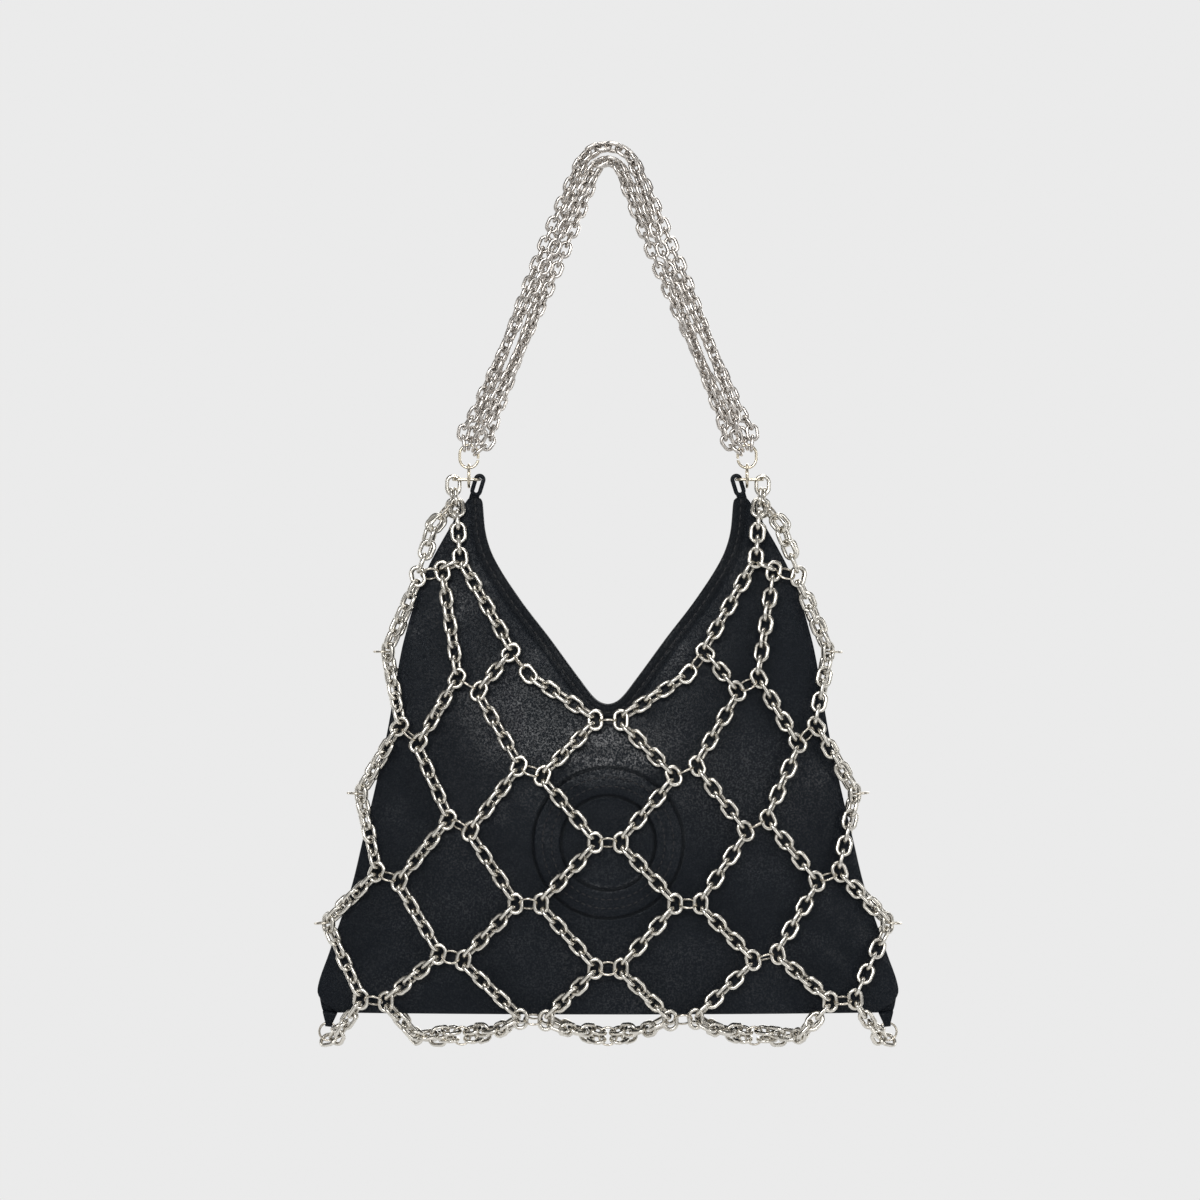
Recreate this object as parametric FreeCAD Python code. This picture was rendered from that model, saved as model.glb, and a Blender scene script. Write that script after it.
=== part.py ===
import FreeCAD, Part
import math
import os

os.makedirs("parts", exist_ok=True)
V = FreeCAD.Vector
X = V(1, 0, 0)
Y = V(0, 1, 0)
Z = V(0, 0, 1)

# Driving sizes, in millimetres. The origin is the point the handle hangs from.
POUCH_WIDTH = 263.0
POUCH_HEIGHT = 233.0
POUCH_DEPTH = 31.0
LEATHER = 1.6
LINING = 0.5
FACING = 0.7
SEAM = 0.3
LAYER_GAP = 0.3
LINING_INSET = 8.0
FACING_WIDTH = 11.0

NET_LINK_LENGTH = 10.0
NET_LINK_WIDTH = 8.0
NET_LINK_WIRE = 1.65
NET_STANDOFF = 1.6
SIDE_CLEAR = 2.0
HANDLE_LINK_LENGTH = 8.4
HANDLE_LINK_WIDTH = 6.6
HANDLE_LINK_WIRE = 1.5
PLAY = 0.1

JUMP_RING_ACROSS = 9.0
JUMP_RING_WIRE = 1.0
END_RING_LENGTH = 11.6
END_RING_WIDTH = 9.6
CONNECTOR_LENGTH = 11.4
CONNECTOR_WIDTH = 10.4
YOKE_LENGTH = 13.2
YOKE_WIDTH = 7.0
RING_WIRE = 1.3
RING_PLAY = 0.15
HOLD_PLAY = 0.3
RING_CUT = 0.7

HANDLE_DROP = 130.0
HANDLE_BEND = 10.0
STRAND_OFFSET = 4.75
FAN_LENGTH = 14.0
YOKE_SHIFT = 1.1

LOOP_HEIGHT = 10.6
LOOP_STRAP = 1.5
LOOP_BREADTH = 2.8
LOOP_PLAY = 0.55
TAB_DROP = 1.6
TAB_LENGTH = 7.2
TAB_STRAP = 0.8
TAB_BREADTH = 3.2

SNAP_FLANGE = 18.0
SNAP_BODY = 13.0
SNAP_FLANGE_THICK = 0.8
SNAP_BODY_THICK = 1.8
SNAP_STUD = 6.0
SNAP_STUD_HEIGHT = 1.2
SNAP_DROP = 19.0

# Shape of the pouch: height, half width and half depth at each level, as shares.
level_shares = (0.0, 0.02, 0.045, 0.116, 0.241, 0.342,
                0.434, 0.546, 0.633, 0.724, 0.846, 0.955, 1.0)
width_shares = (0.93, 0.98, 1.0, 0.962, 0.89, 0.849,
                0.812, 0.771, 0.745, 0.714, 0.645, 0.54, 0.487)
depth_shares = (0.77, 0.79, 0.83, 0.91, 1.0, 1.0,
                0.93, 0.74, 0.58, 0.45, 0.32, 0.23, 0.2)

# Neck cut: half width and height of its edge from the bottom of the V up, as shares.
neck_shares = ((0.0, 0.598), (0.04, 0.607), (0.095, 0.645), (0.2, 0.726), (0.3, 0.8),
               (0.388, 0.878), (0.42, 0.93), (0.43, 1.0), (0.438, 1.06))

# Ring places of the net: half-width share, height share, tilt in degrees.
ring_shares = {
    "c1": (0.0, 0.569, 0), "c2": (0.0, 0.334, 0), "c3": (0.0, 0.091, 0),
    "a0": (0.305, 0.680, 50.6), "a1": (0.264, 0.471, 22),
    "a2": (0.272, 0.216, 0), "a3": (0.256, -0.008, 3),
    "b0": (0.479, 0.637, 30), "b1": (0.508, 0.366, 26), "b2": (0.537, 0.112, 13),
    "d0": (0.610, 0.851, -12), "d1": (0.681, 0.540, 40),
    "d2": (0.753, 0.266, 21), "d3": (0.803, 0.027, 5),
}
side_shares = {"s1": 0.700, "s2": 0.425, "s3": 0.174}
bottom_shares = {"c4": (0.0, -0.046), "b3": (0.503, -0.045)}
split_share = (0.5065, 0.882)
outer_lean_share = 1.0
ring_line_share = 0.478
yoke_drop_shares = (-0.09, -0.56, -1.02)
full_pitch_share = 0.985
handle_pitch_share = 0.92
tab_axis_shares = (0.1, 0, -1)
tab_share = (0.9537, 0.01)
loop_foot_share = 0.453
small_step_share = 0.004
FITTING_ROUNDS = 20
LINE_POINTS = 1500

# Angles in degrees: how the net's rings tilt, and how far the strands twist.
RING_TILT = 38.0
RING_TILT_STEP = 137.5
RING_TILT_START = 34.4
side_tilt_share = 0.125
STRAND_START = 45.0
STRAND_STEP = 90.0
HANDLE_TWIST = 135.0

# Where the handle strands hold an end ring, in degrees from the line of the leg:
# first those in front and behind, then those beside
RING_HOLD = (21, 74)
RING_AIM = (8, 28)
RING_LEAN = (60, 0)

# Where the strands of the net hold the rings under the pouch, front then back:
# angle on the ring in degrees, links before the turn, share of droop
hold_shares = {
    "middle": ("c4", (40, 1, 0.1), (-28, 1, 0.1)),
    "inner": ("b3", (140, 1, 0.2), (207, 1, 0.2)),
    "outer": ("b3", (42, 3, 0.5), (-27, 3, 0.5)),
    "edge": ("corner", (288, 3, 0.3), (149, 1, 0.3)),
}

# Sizes worked out from the driving ones.
HALF_WIDTH = POUCH_WIDTH / 2
HALF_DEPTH = POUCH_DEPTH / 2
RING_X = ring_line_share * HALF_WIDTH


def unit(v):
    """The direction of a vector."""
    return v * (1 / v.Length)


def mixed(a, b, t):
    """The point or vector a share t of the way from a to b."""
    return a * (1 - t) + b * t


def eased(t):
    """A share that starts and stops gently."""
    t = min(1, max(0, t))
    return t * t * (3 - 2 * t)


def on_curve(places, values, at):
    """Value of a smooth curve through a table of values."""
    if at <= places[0]:
        return values[0]
    if at >= places[-1]:
        return values[-1]
    last = len(places) - 1

    def slope(i):
        lo = max(0, i - 1)
        hi = min(last, i + 1)
        return (values[hi] - values[lo]) / (places[hi] - places[lo])

    k = max(i for i in range(last) if places[i] <= at)
    step = places[k + 1] - places[k]
    t = (at - places[k]) / step
    return ((1 + 2 * t) * (1 - t) ** 2 * values[k]
            + t * (1 - t) ** 2 * step * slope(k)
            + t * t * (3 - 2 * t) * values[k + 1]
            + t * t * (t - 1) * step * slope(k + 1))


class LinkSize:
    """One size of oval wire link, with the distances a chain needs."""

    def __init__(self, length, width, wire):
        self.length = length
        self.width = width
        self.wire = wire
        self.pitch = length - 2 * wire
        self.end = (length - width) / 2
        self.side = (width - wire) / 2
        self.tip = (length - wire) / 2
        self.solid = self.swept()

    def swept(self):
        """Round wire swept round an oval lying in the XY plane, long along X."""
        e, r = self.end, self.side
        start = V(0, r, 0)
        a, b = V(e, r, 0), V(e, -r, 0)
        c, d = V(-e, -r, 0), V(-e, r, 0)
        path = Part.Wire([
            Part.LineSegment(start, a).toShape(),
            Part.Arc(a, V(e + r, 0, 0), b).toShape(),
            Part.LineSegment(b, c).toShape(),
            Part.Arc(c, V(-e - r, 0, 0), d).toShape(),
            Part.LineSegment(d, start).toShape()])
        rim = Part.Wire([Part.makeCircle(self.wire / 2, start, X)])
        return path.makePipeShell([rim], True, False)


def placed(solid, centre, axis, normal):
    """A copy of a solid with its X along axis and its Z along normal."""
    x = unit(axis)
    z = unit(normal - x * normal.dot(x))
    y = z.cross(x)
    turn = FreeCAD.Matrix(x.x, y.x, z.x, centre.x,
                          x.y, y.y, z.y, centre.y,
                          x.z, y.z, z.z, centre.z,
                          0, 0, 0, 1)
    return solid.transformed(turn, True)


net = LinkSize(NET_LINK_LENGTH, NET_LINK_WIDTH, NET_LINK_WIRE)
grip = LinkSize(HANDLE_LINK_LENGTH, HANDLE_LINK_WIDTH, HANDLE_LINK_WIRE)
end_ring = LinkSize(END_RING_LENGTH, END_RING_WIDTH, RING_WIRE)
connector = LinkSize(CONNECTOR_LENGTH, CONNECTOR_WIDTH, RING_WIRE)
yoke = LinkSize(YOKE_LENGTH, YOKE_WIDTH, RING_WIRE)

JUMP_RADIUS = (JUMP_RING_ACROSS - JUMP_RING_WIRE) / 2
JUMP_HOLD = (NET_LINK_WIRE + JUMP_RING_WIRE) / 2 + PLAY
SIDE_REACH = net.side + JUMP_RADIUS - JUMP_HOLD
END_REACH = net.tip + JUMP_RADIUS - JUMP_HOLD
jump_ring = Part.makeTorus(JUMP_RADIUS, JUMP_RING_WIRE / 2)

# Heights of the hanging hardware, from the top down.
END_RING_Z = -HANDLE_DROP
FAN_Z = END_RING_Z + end_ring.end
HINGE_CONNECTOR_Z = END_RING_Z - end_ring.tip
CONNECTOR_Z = HINGE_CONNECTOR_Z + RING_WIRE + RING_PLAY - connector.tip
HINGE_BAG_Z = CONNECTOR_Z - connector.end
YOKE_RIDE = connector.side - RING_WIRE - RING_PLAY
YOKE_Z = HINGE_BAG_Z - math.sqrt(max(0, YOKE_RIDE ** 2 - yoke.side ** 2))
YOKE_X = RING_X + YOKE_SHIFT
LOOP_TOP_Z = YOKE_Z + RING_WIRE / 2 + LOOP_PLAY + LOOP_STRAP
PEAK_Z = LOOP_TOP_Z - LOOP_HEIGHT
BOTTOM_Z = PEAK_Z - POUCH_HEIGHT

parts = {}


def keep(name, solids):
    """File solids under the name of their piece."""
    parts.setdefault(name, []).extend(solids)


# Pouch


def half_width(h):
    """Half width of the pouch at a height share."""
    return HALF_WIDTH * on_curve(level_shares, width_shares, h)


def half_depth(h):
    """Inside half depth of the pouch at a height share."""
    return HALF_DEPTH * on_curve(level_shares, depth_shares, h)


def bulge(h, x):
    """Distance of a panel's inner face from the middle plane."""
    w, d = half_width(h), half_depth(h)
    radius = (w * w + d * d) / (2 * d)
    x = min(abs(x), w)
    return SEAM + math.sqrt(radius * radius - x * x) - radius + d


def height_of(h):
    """Height of a level of the pouch."""
    return BOTTOM_Z + h * POUCH_HEIGHT


def crescent(h, face, inset, depth_in, thick):
    """Closed outline of one layer of a panel at a height share."""
    w = half_width(h) - inset
    z = height_of(h)
    edge = bulge(h, w) - depth_in
    mid = bulge(h, 0) - depth_in
    inner = [V(-w, face * edge, z), V(0, face * mid, z), V(w, face * edge, z)]
    outer = [p + V(0, face * thick, 0) for p in inner]
    return Part.Wire([
        Part.Arc(*inner).toShape(),
        Part.LineSegment(inner[2], outer[2]).toShape(),
        Part.Arc(*reversed(outer)).toShape(),
        Part.LineSegment(outer[0], inner[0]).toShape()])


def layer(face, inset, depth_in, thick, levels):
    """One layer of the front (face -1) or back (face 1) of the pouch."""
    rims = [crescent(h, face, inset, depth_in, thick) for h in levels]
    return Part.makeLoft(rims, True, False)


def neck_points(margin):
    """Edge of the neck cut, moved outward by a margin."""
    pts = [V(x * HALF_WIDTH, 0, height_of(h)) for x, h in neck_shares]
    pts = [V(-p.x, 0, p.z) for p in reversed(pts[1:])] + pts
    moved = []
    for i, p in enumerate(pts):
        along = pts[min(i + 1, len(pts) - 1)] - pts[max(i - 1, 0)]
        moved.append(p + unit(V(along.z, 0, -along.x)) * margin)
    return moved


def neck_block(margin):
    """Block that cuts the V of the neck through both panels."""
    pts = neck_points(margin)
    curve = Part.BSplineCurve()
    curve.interpolate(pts)
    lid = Part.LineSegment(pts[-1], pts[0]).toShape()
    face = Part.Face(Part.Wire([curve.toShape(), lid]))
    face.translate(Y * -POUCH_DEPTH)
    return face.extrude(Y * 2 * POUCH_DEPTH)


neck = neck_block(0)
neck_band = neck_block(FACING_WIDTH)
neck_lining = neck_block(FACING_WIDTH + LAYER_GAP)
facing_levels = [h for h in level_shares if h > level_shares[6]]
lid_box = Part.makeBox(POUCH_WIDTH, POUCH_DEPTH * 2, POUCH_HEIGHT,
                       V(-HALF_WIDTH, -POUCH_DEPTH, height_of(level_shares[-2])))
lining_levels = level_shares[1:-1]
FACING_IN = LAYER_GAP + FACING
LINING_IN = LAYER_GAP + LINING
for face, word in ((-1, "front"), (1, "back")):
    panel = layer(face, 0, 0, LEATHER, level_shares)
    keep(word + "_panel", [panel.cut(neck)])
    band = layer(face, LINING_INSET, FACING_IN, FACING, facing_levels)
    keep(word + "_facing", [band.common(neck_band).cut(neck).cut(lid_box)])
    sheet = layer(face, LINING_INSET, LINING_IN, LINING, lining_levels)
    keep(word + "_lining", [sheet.cut(neck_lining)])


def base_outline(h, inset):
    """Outline of the base, between the bottoms of the two panels."""
    w = half_width(h) - inset
    z = height_of(h)
    edge = bulge(h, w) - LAYER_GAP
    mid = bulge(h, 0) - LAYER_GAP
    left, right = V(-w, 0, z), V(w, 0, z)
    return Part.Wire([
        Part.LineSegment(left - Y * edge, left + Y * edge).toShape(),
        Part.Arc(left + Y * edge, V(0, mid, z), right + Y * edge).toShape(),
        Part.LineSegment(right + Y * edge, right - Y * edge).toShape(),
        Part.Arc(right - Y * edge, V(0, -mid, z), left - Y * edge).toShape()])


base = Part.Face(base_outline(0, LINING_INSET)).extrude(Z * LEATHER)
keep("base_panel", [base])

# Snap inside the mouth, open

SNAP_SHARE = (neck_points(0)[len(neck_shares) - 1].z - SNAP_DROP - BOTTOM_Z) / POUCH_HEIGHT


def inner_normal(h, face):
    """Direction from a panel into the pouch, on the middle line."""
    step = small_step_share
    rise = bulge(h + step, 0) - bulge(h - step, 0)
    return unit(V(0, -face * 2 * step * POUCH_HEIGHT, rise))


for face, word in ((-1, "front"), (1, "back")):
    inward = inner_normal(SNAP_SHARE, face)
    foot = V(0, face * bulge(SNAP_SHARE, 0), height_of(SNAP_SHARE))
    foot = foot + inward * (LINING_IN + LAYER_GAP)
    half = Part.makeCylinder(SNAP_FLANGE / 2, SNAP_FLANGE_THICK, foot, inward)
    body_foot = foot + inward * SNAP_FLANGE_THICK
    half = half.fuse(Part.makeCylinder(SNAP_BODY / 2, SNAP_BODY_THICK, body_foot, inward))
    top = body_foot + inward * SNAP_BODY_THICK
    if face < 0:
        half = half.fuse(Part.makeCylinder(SNAP_STUD / 2, SNAP_STUD_HEIGHT, top, inward))
    else:
        drop = top - inward * SNAP_STUD_HEIGHT
        hole = SNAP_STUD / 2 + LAYER_GAP
        half = half.cut(Part.makeCylinder(hole, SNAP_BODY_THICK, drop, inward))
    keep(word + "_snap", [half.removeSplitter()])

# Net of chain


class Station:
    """A link that lies flat on the net where a strand turns."""

    def __init__(self, centre, axis, normal):
        self.centre = centre
        self.axis = unit(axis)
        self.normal = normal
        self.entry = centre - self.axis * net.end
        self.exit = centre + self.axis * net.end


STANDOFF = LEATHER + NET_LINK_WIDTH / 2 + NET_STANDOFF


def on_net(x, h):
    """Point of the front net over a place of the pouch."""
    return V(x, -bulge(h, x) - STANDOFF, height_of(h))


def net_frame(x, h):
    """Point of the front net with its outward, across and down directions."""
    step = small_step_share
    dx = on_net(x + step * HALF_WIDTH, h) - on_net(x - step * HALF_WIDTH, h)
    dz = on_net(x, max(h, step) + step) - on_net(x, max(h, step) - step)
    outward = unit(dx.cross(dz))
    return on_net(x, h), outward, unit(dx)


class Ring:
    """A jump ring that joins two turning links of the net."""

    def __init__(self, centre, outward, across):
        self.centre = centre
        self.outward = outward
        self.across = across
        self.down = across.cross(outward)

    def side(self, which):
        """The turning link held by its side, on one side of the ring."""
        centre = self.centre + self.across * which * SIDE_REACH
        return Station(centre, self.down, self.outward)

    def hung(self, direction):
        """The link held by its end that leads away from the ring."""
        direction = unit(direction)
        centre = self.centre + direction * END_REACH
        return Station(centre, direction, self.outward)

    def solid(self, tilt):
        """The ring, standing across the net and tilted by an angle."""
        t = math.radians(tilt)
        lean = self.outward * math.cos(t) + self.down * math.sin(t)
        return placed(jump_ring, self.centre, self.across, self.across.cross(lean))


def net_ring(name):
    """A ring of the front net, on its right half."""
    x, h, tilt = ring_shares[name]
    centre, outward, across = net_frame(x * HALF_WIDTH, h)
    t = math.radians(tilt)
    up = outward.cross(across)
    return Ring(centre, outward, across * math.cos(t) + up * math.sin(t))


rings = {name: net_ring(name) for name in ring_shares}


class SideRing:
    """A jump ring over the side seam that joins front and back strands."""

    def __init__(self, h):
        clear = JUMP_RING_ACROSS / 2 + SIDE_CLEAR
        self.centre = V(half_width(h) + clear, 0, height_of(h))

    def side(self, which):
        """The front turning link at the side seam."""
        across = unit(X + Y)
        wire = self.centre - Y * (JUMP_RADIUS - JUMP_HOLD)
        return Station(wire - across * net.side, -Z, unit(X - Y))

    def solid(self, tilt):
        """The ring, lying level and tilted by an angle."""
        t = math.radians(tilt)
        lean = X * math.cos(t) + Z * math.sin(t)
        return placed(jump_ring, self.centre, Y, Y.cross(lean))


for name in side_shares:
    rings[name] = SideRing(side_shares[name])


def even_pitch(span, odd):
    """Count of pitches in a span, odd or even, and the pitch it gives."""
    count = math.ceil(span / (net.pitch * full_pitch_share))
    if count % 2 != odd:
        count += 1
    return count, span / count


def links_between(start, stop, face_in, face_out, count, pitch, lead):
    """Frames of the links strung on a line, every second one on edge."""
    along = unit(stop - start)
    frames = []
    for i in range(1, count):
        face = mixed(face_in, face_out, i / count)
        face = unit(face - along * face.dot(along))
        normal = along.cross(face) if i % 2 else face
        frames.append((start + along * (i * pitch - lead), along, normal))
    return frames


def between(a, b, start=None):
    """Frames of the links between two turning links."""
    if start is None:
        span = (b.entry - a.exit).Length + 2 * net.end
        count, pitch = even_pitch(span, 0)
        return links_between(a.exit, b.entry, a.normal, b.normal, count, pitch, net.end)
    span = (b.entry - start).Length + 2 * net.end
    count, pitch = even_pitch(span, 0)
    pitch = (span - net.pitch) / (count - 1)
    lead = net.end - net.pitch + pitch
    return links_between(start, b.entry, a.normal, b.normal, count, pitch, lead)


def to_ring(a, hold, tangent, flat_count, droop):
    """Frames of the links that sag from a turning link to a wire they end on.

    The first links stay in the plane of the turning link, the next one turns
    in under the pouch, and the rest run straight to the wire.
    """
    flat = hold - a.exit
    flat = unit(flat - a.normal * flat.dot(a.normal))
    first = unit(flat + a.axis * droop)
    first = unit(first - a.normal * first.dot(a.normal))
    lateral = a.normal.cross(first)
    reach = net.tip - JUMP_HOLD

    def slanted(direction):
        return net.tip - (JUMP_HOLD + 2 * PLAY) / math.sqrt(1 - direction.dot(tangent) ** 2)

    def corners(pitch):
        knee = a.exit + first * (flat_count * pitch)
        second = hold - knee
        second = unit(second - lateral * second.dot(lateral))
        turn = knee + second * pitch
        return knee, second, turn

    knee, second, turn = corners(net.pitch)
    whole = (flat_count + 1) * net.pitch + (hold - turn).Length
    count, pitch = even_pitch(whole + net.end - reach, 1)
    for again in range(FITTING_ROUNDS):
        knee, second, turn = corners(pitch)
        reach = slanted(unit(hold - turn))
        whole = (flat_count + 1) * pitch + (hold - turn).Length
        pitch = (whole + net.end - reach) / count
    third = unit(hold - turn)
    face_second = second.cross(lateral) * -1
    if face_second.dot(a.normal) < 0:
        face_second = face_second * -1
    last = tangent.cross(third)
    last = last if last.dot(face_second) > 0 else last * -1
    frames = []
    for i in range(1, count + 1):
        d = i * pitch - net.end
        if i <= flat_count:
            along, point, face = first, a.exit + first * d, a.normal
        elif i == flat_count + 1:
            along, face = second, face_second
            point = knee + second * (d - flat_count * pitch)
        else:
            along = third
            point = turn + third * (d - (flat_count + 1) * pitch)
            face = mixed(face_second, last, (i - flat_count - 1) / (count - flat_count - 1))
        face = unit(face - along * face.dot(along))
        normal = along.cross(face) if i % 2 else face
        frames.append((point, along, normal))
    return frames


def frames_of(stations, start=None):
    """Frames of a strand that runs through turning links."""
    frames = []
    for i, here in enumerate(stations):
        if i:
            frames += between(stations[i - 1], here, start if i == 1 else None)
        frames.append((here.centre, here.axis, here.normal))
    return frames


# Hanging link on the outer end of the yoke, and the forks below it
HANG_HOLD = (NET_LINK_WIRE + RING_WIRE) / 2 + PLAY
BESIDE = net.wire / 2 + PLAY
beside_angle = math.asin(min(1, BESIDE / (net.side - net.wire)))
hang_hook = V(YOKE_X + yoke.tip, 0, YOKE_Z)
hang = Station(hang_hook - Z * (net.tip - HANG_HOLD), -Z, -Y)
split_point, split_face = net_frame(split_share[0] * HALF_WIDTH, split_share[1])[:2]


def beside_start(station, target, which):
    """Start of one of two strands that share the round end of a link."""
    lateral = station.normal.cross(station.axis)
    out = station.axis * math.cos(beside_angle) + lateral * which * math.sin(beside_angle)
    along = unit(target.entry - station.exit)
    wire_way = out.cross(station.normal)
    inward = unit(along - wire_way * along.dot(wire_way))
    tip = station.exit + out * net.side - inward * net.wire
    return tip - along * (net.side - net.wire)


class Fork:
    """The links of one face from the hanging link to where the strands part."""

    def __init__(self, lean):
        self.lean = lean
        drop = hang.centre + V(*yoke_drop_shares) * NET_LINK_LENGTH + X * lean * BESIDE
        axis = unit(drop - hang.exit) + unit(split_point - drop)
        self.fork = Station(drop, axis, unit(split_face - Y))
        self.split = Station(split_point, split_point - drop, split_face)
        self.outer_ring = self.ring_beside()
        self.first_outer = self.hung_outer(rings["d0"].side(1).entry)

    def ring_beside(self):
        """The ring on the outer side of the fork, which holds the edge strand."""
        fork = self.fork
        normal = unit(fork.normal - fork.axis * fork.normal.dot(fork.axis))
        lateral = fork.axis.cross(normal)
        lateral = lateral if lateral.x > 0 else lateral * -1
        across = unit(lateral + fork.axis * outer_lean_share)
        hold = JUMP_HOLD / across.dot(lateral)
        centre = fork.centre + lateral * net.side + across * (JUMP_RADIUS - hold)
        return Ring(centre, normal, across)

    def hung_outer(self, target):
        """The first link of the edge strand, flat to the way it goes on."""
        ring = self.outer_ring
        link = ring.hung(ring.across)
        normal = unit(ring.across.cross(target - link.exit))
        link.normal = normal if normal.dot(ring.outward) > 0 else normal * -1
        return link

    def frames(self):
        """Frames of the hanger from below the hanging link to the split."""
        start = beside_start(hang, self.fork, self.lean)
        upper = frames_of([hang, self.fork], start)[1:]
        return upper + frames_of([self.fork, self.split])[1:]


forks = {1: Fork(-1), -1: Fork(1)}
a0 = rings["a0"]
first_middle = a0.hung(a0.across * -1)


inner = [rings[n].side(s) for n, s in (
    ("a0", 1), ("b0", -1), ("a1", 1), ("b1", -1),
    ("a2", 1), ("b2", -1), ("a3", 1))]
outer = [rings[n].side(s) for n, s in (
    ("d0", -1), ("b0", 1), ("d1", -1), ("b1", 1),
    ("d2", -1), ("b2", 1), ("d3", -1))]
edge = [rings[n].side(s) for n, s in (
    ("d0", 1), ("s1", -1), ("d1", 1), ("s2", -1),
    ("d2", 1), ("s3", -1), ("d3", 1))]
middle = [first_middle] + [rings[n].side(s) for n, s in (
    ("c1", 1), ("a1", -1), ("c2", 1), ("a2", -1),
    ("c3", 1), ("a3", -1))]

# Rings under the pouch that close the net
bottom = {}
for name in bottom_shares:
    x, h = bottom_shares[name]
    bottom[name] = V(x * HALF_WIDTH, 0, height_of(h))


def hold_point(centre, angle):
    """A point of a ring's wire and the direction of the wire there."""
    out = V(math.cos(angle), 0, math.sin(angle))
    return centre + out * JUMP_RADIUS, V(-out.z, 0, out.x)


# Corner tab and the ring it holds
TAB_AXIS = unit(V(*tab_axis_shares))
TAB_ACROSS = V(-TAB_AXIS.z, 0, TAB_AXIS.x)
TAB_SAG = JUMP_RADIUS - math.sqrt(JUMP_RADIUS ** 2 - (TAB_BREADTH / 2) ** 2)
TAB_HOLE = JUMP_RING_WIRE + 2 * RING_PLAY + TAB_SAG
TAB_DEPTH = TAB_HOLE + 2 * TAB_STRAP
tab_top = V(tab_share[0] * HALF_WIDTH, 0, height_of(tab_share[1]))
tab_top = tab_top + TAB_AXIS * (TAB_DROP + TAB_DEPTH / 2)
tab_end = tab_top + TAB_AXIS * (TAB_LENGTH - TAB_DEPTH)
corner = tab_end + TAB_AXIS * (JUMP_RADIUS - TAB_SAG / 2)

bottom["corner"] = corner
strands = {"middle": middle, "inner": inner, "outer": outer, "edge": edge}


def mirrored(v, sx, sy):
    """A vector mirrored to the left half or to the back."""
    return V(v.x * sx, v.y * sy, v.z)


for face, word in ((1, "front"), (-1, "back")):
    for side, hand in ((1, "right"), (-1, "left")):
        where = word + "_" + hand + "_"
        for name, stations in strands.items():
            fork = forks[face]
            if name in ("inner", "outer"):
                which = 1 if name == "outer" else -1
                start = beside_start(fork.split, stations[0], which)
                frames = frames_of([fork.split] + stations, start)[1:]
            elif name == "edge":
                frames = frames_of([fork.first_outer] + stations)
            else:
                frames = frames_of(stations)
            ring_name, front_way, back_way = hold_shares[name]
            angle, flat_count, droop = front_way if face > 0 else back_way
            hold, tangent = hold_point(bottom[ring_name], math.radians(angle))
            frames += to_ring(stations[-1], hold, tangent, flat_count, droop)
            keep(where + name + "_chain", [
                placed(net.solid, *(mirrored(v, side, face) for v in frame))
                for frame in frames])
        keep(where + "hanger", [
            placed(net.solid, *(mirrored(v, side, face) for v in frame))
            for frame in forks[face].frames()])

for part_name in ("left", "right"):
    side = 1 if part_name == "right" else -1
    keep(part_name + "_hang_link", [placed(
        net.solid, mirrored(hang.centre, side, 1), hang.axis, hang.normal)])


def wobble(k):
    """Tilt of a ring, so that no two neighbours hang alike."""
    return RING_TILT * math.sin(math.radians(RING_TILT_STEP * k + RING_TILT_START))


def mirrored_solid(solid, sx, sy):
    """A solid mirrored to the left half or to the back."""
    if sx < 0:
        solid = solid.mirror(V(), X)
    if sy < 0:
        solid = solid.mirror(V(), Y)
    return solid


k = 0
for face, word in ((1, "front"), (-1, "back")):
    for side in (1, -1):
        for name in ring_shares:
            k += 1
            if name[0] == "c" and side < 0:
                continue
            ring = rings[name].solid(wobble(k))
            keep(word + "_net_rings", [mirrored_solid(ring, side, face)])
        ring = forks[face].outer_ring.solid(0)
        keep(word + "_net_rings", [mirrored_solid(ring, side, face)])
for side, hand in ((1, "right"), (-1, "left")):
    for name in side_shares:
        k += 1
        ring = rings[name].solid(wobble(k) * side_tilt_share)
        keep(hand + "_side_rings", [mirrored_solid(ring, side, 1)])
    keep(hand + "_corner_ring", [
        placed(jump_ring, mirrored(corner, side, 1), X, Y)])
for name in bottom_shares:
    for side in ((1,) if name == "c4" else (1, -1)):
        keep("bottom_rings", [placed(jump_ring, mirrored(bottom[name], side, 1), X, Y)])

# Leather loops at the peaks and tabs at the corners


def strap_loop(top, foot, strap, hole, breadth_dir, breadth):
    """A strap folded into a loop, from the wire it holds to its foot."""
    along = unit(foot - top)
    across = along.cross(breadth_dir)
    r_in, r_out = hole / 2, hole / 2 + strap

    def oval(r):
        a, b = top + across * r, top - across * r
        c, d = foot - across * r, foot + across * r
        return Part.Wire([
            Part.Arc(a, top - along * r, b).toShape(),
            Part.LineSegment(b, c).toShape(),
            Part.Arc(c, foot + along * r, d).toShape(),
            Part.LineSegment(d, a).toShape()])

    ring = Part.Face([oval(r_out), oval(r_in)])
    ring.translate(breadth_dir * (-breadth / 2))
    return ring.extrude(breadth_dir * breadth)


LOOP_HOLE = RING_WIRE + 2 * LOOP_PLAY
LOOP_HALF = LOOP_HOLE / 2 + LOOP_STRAP
loop_top = V(YOKE_X - yoke.tip, 0, YOKE_Z)
loop_foot = V(loop_foot_share * HALF_WIDTH, 0, PEAK_Z + LOOP_HALF + RING_PLAY)
for side, hand in ((1, "right"), (-1, "left")):
    keep(hand + "_peak_loop", [strap_loop(
        mirrored(loop_top, side, 1), mirrored(loop_foot, side, 1),
        LOOP_STRAP, LOOP_HOLE, Y, LOOP_BREADTH)])
    breadth_dir = mirrored(TAB_ACROSS, side, 1)
    keep(hand + "_corner_tab", [strap_loop(
        mirrored(tab_end, side, 1), mirrored(tab_top, side, 1),
        TAB_STRAP, TAB_HOLE, breadth_dir, TAB_BREADTH)])

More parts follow.
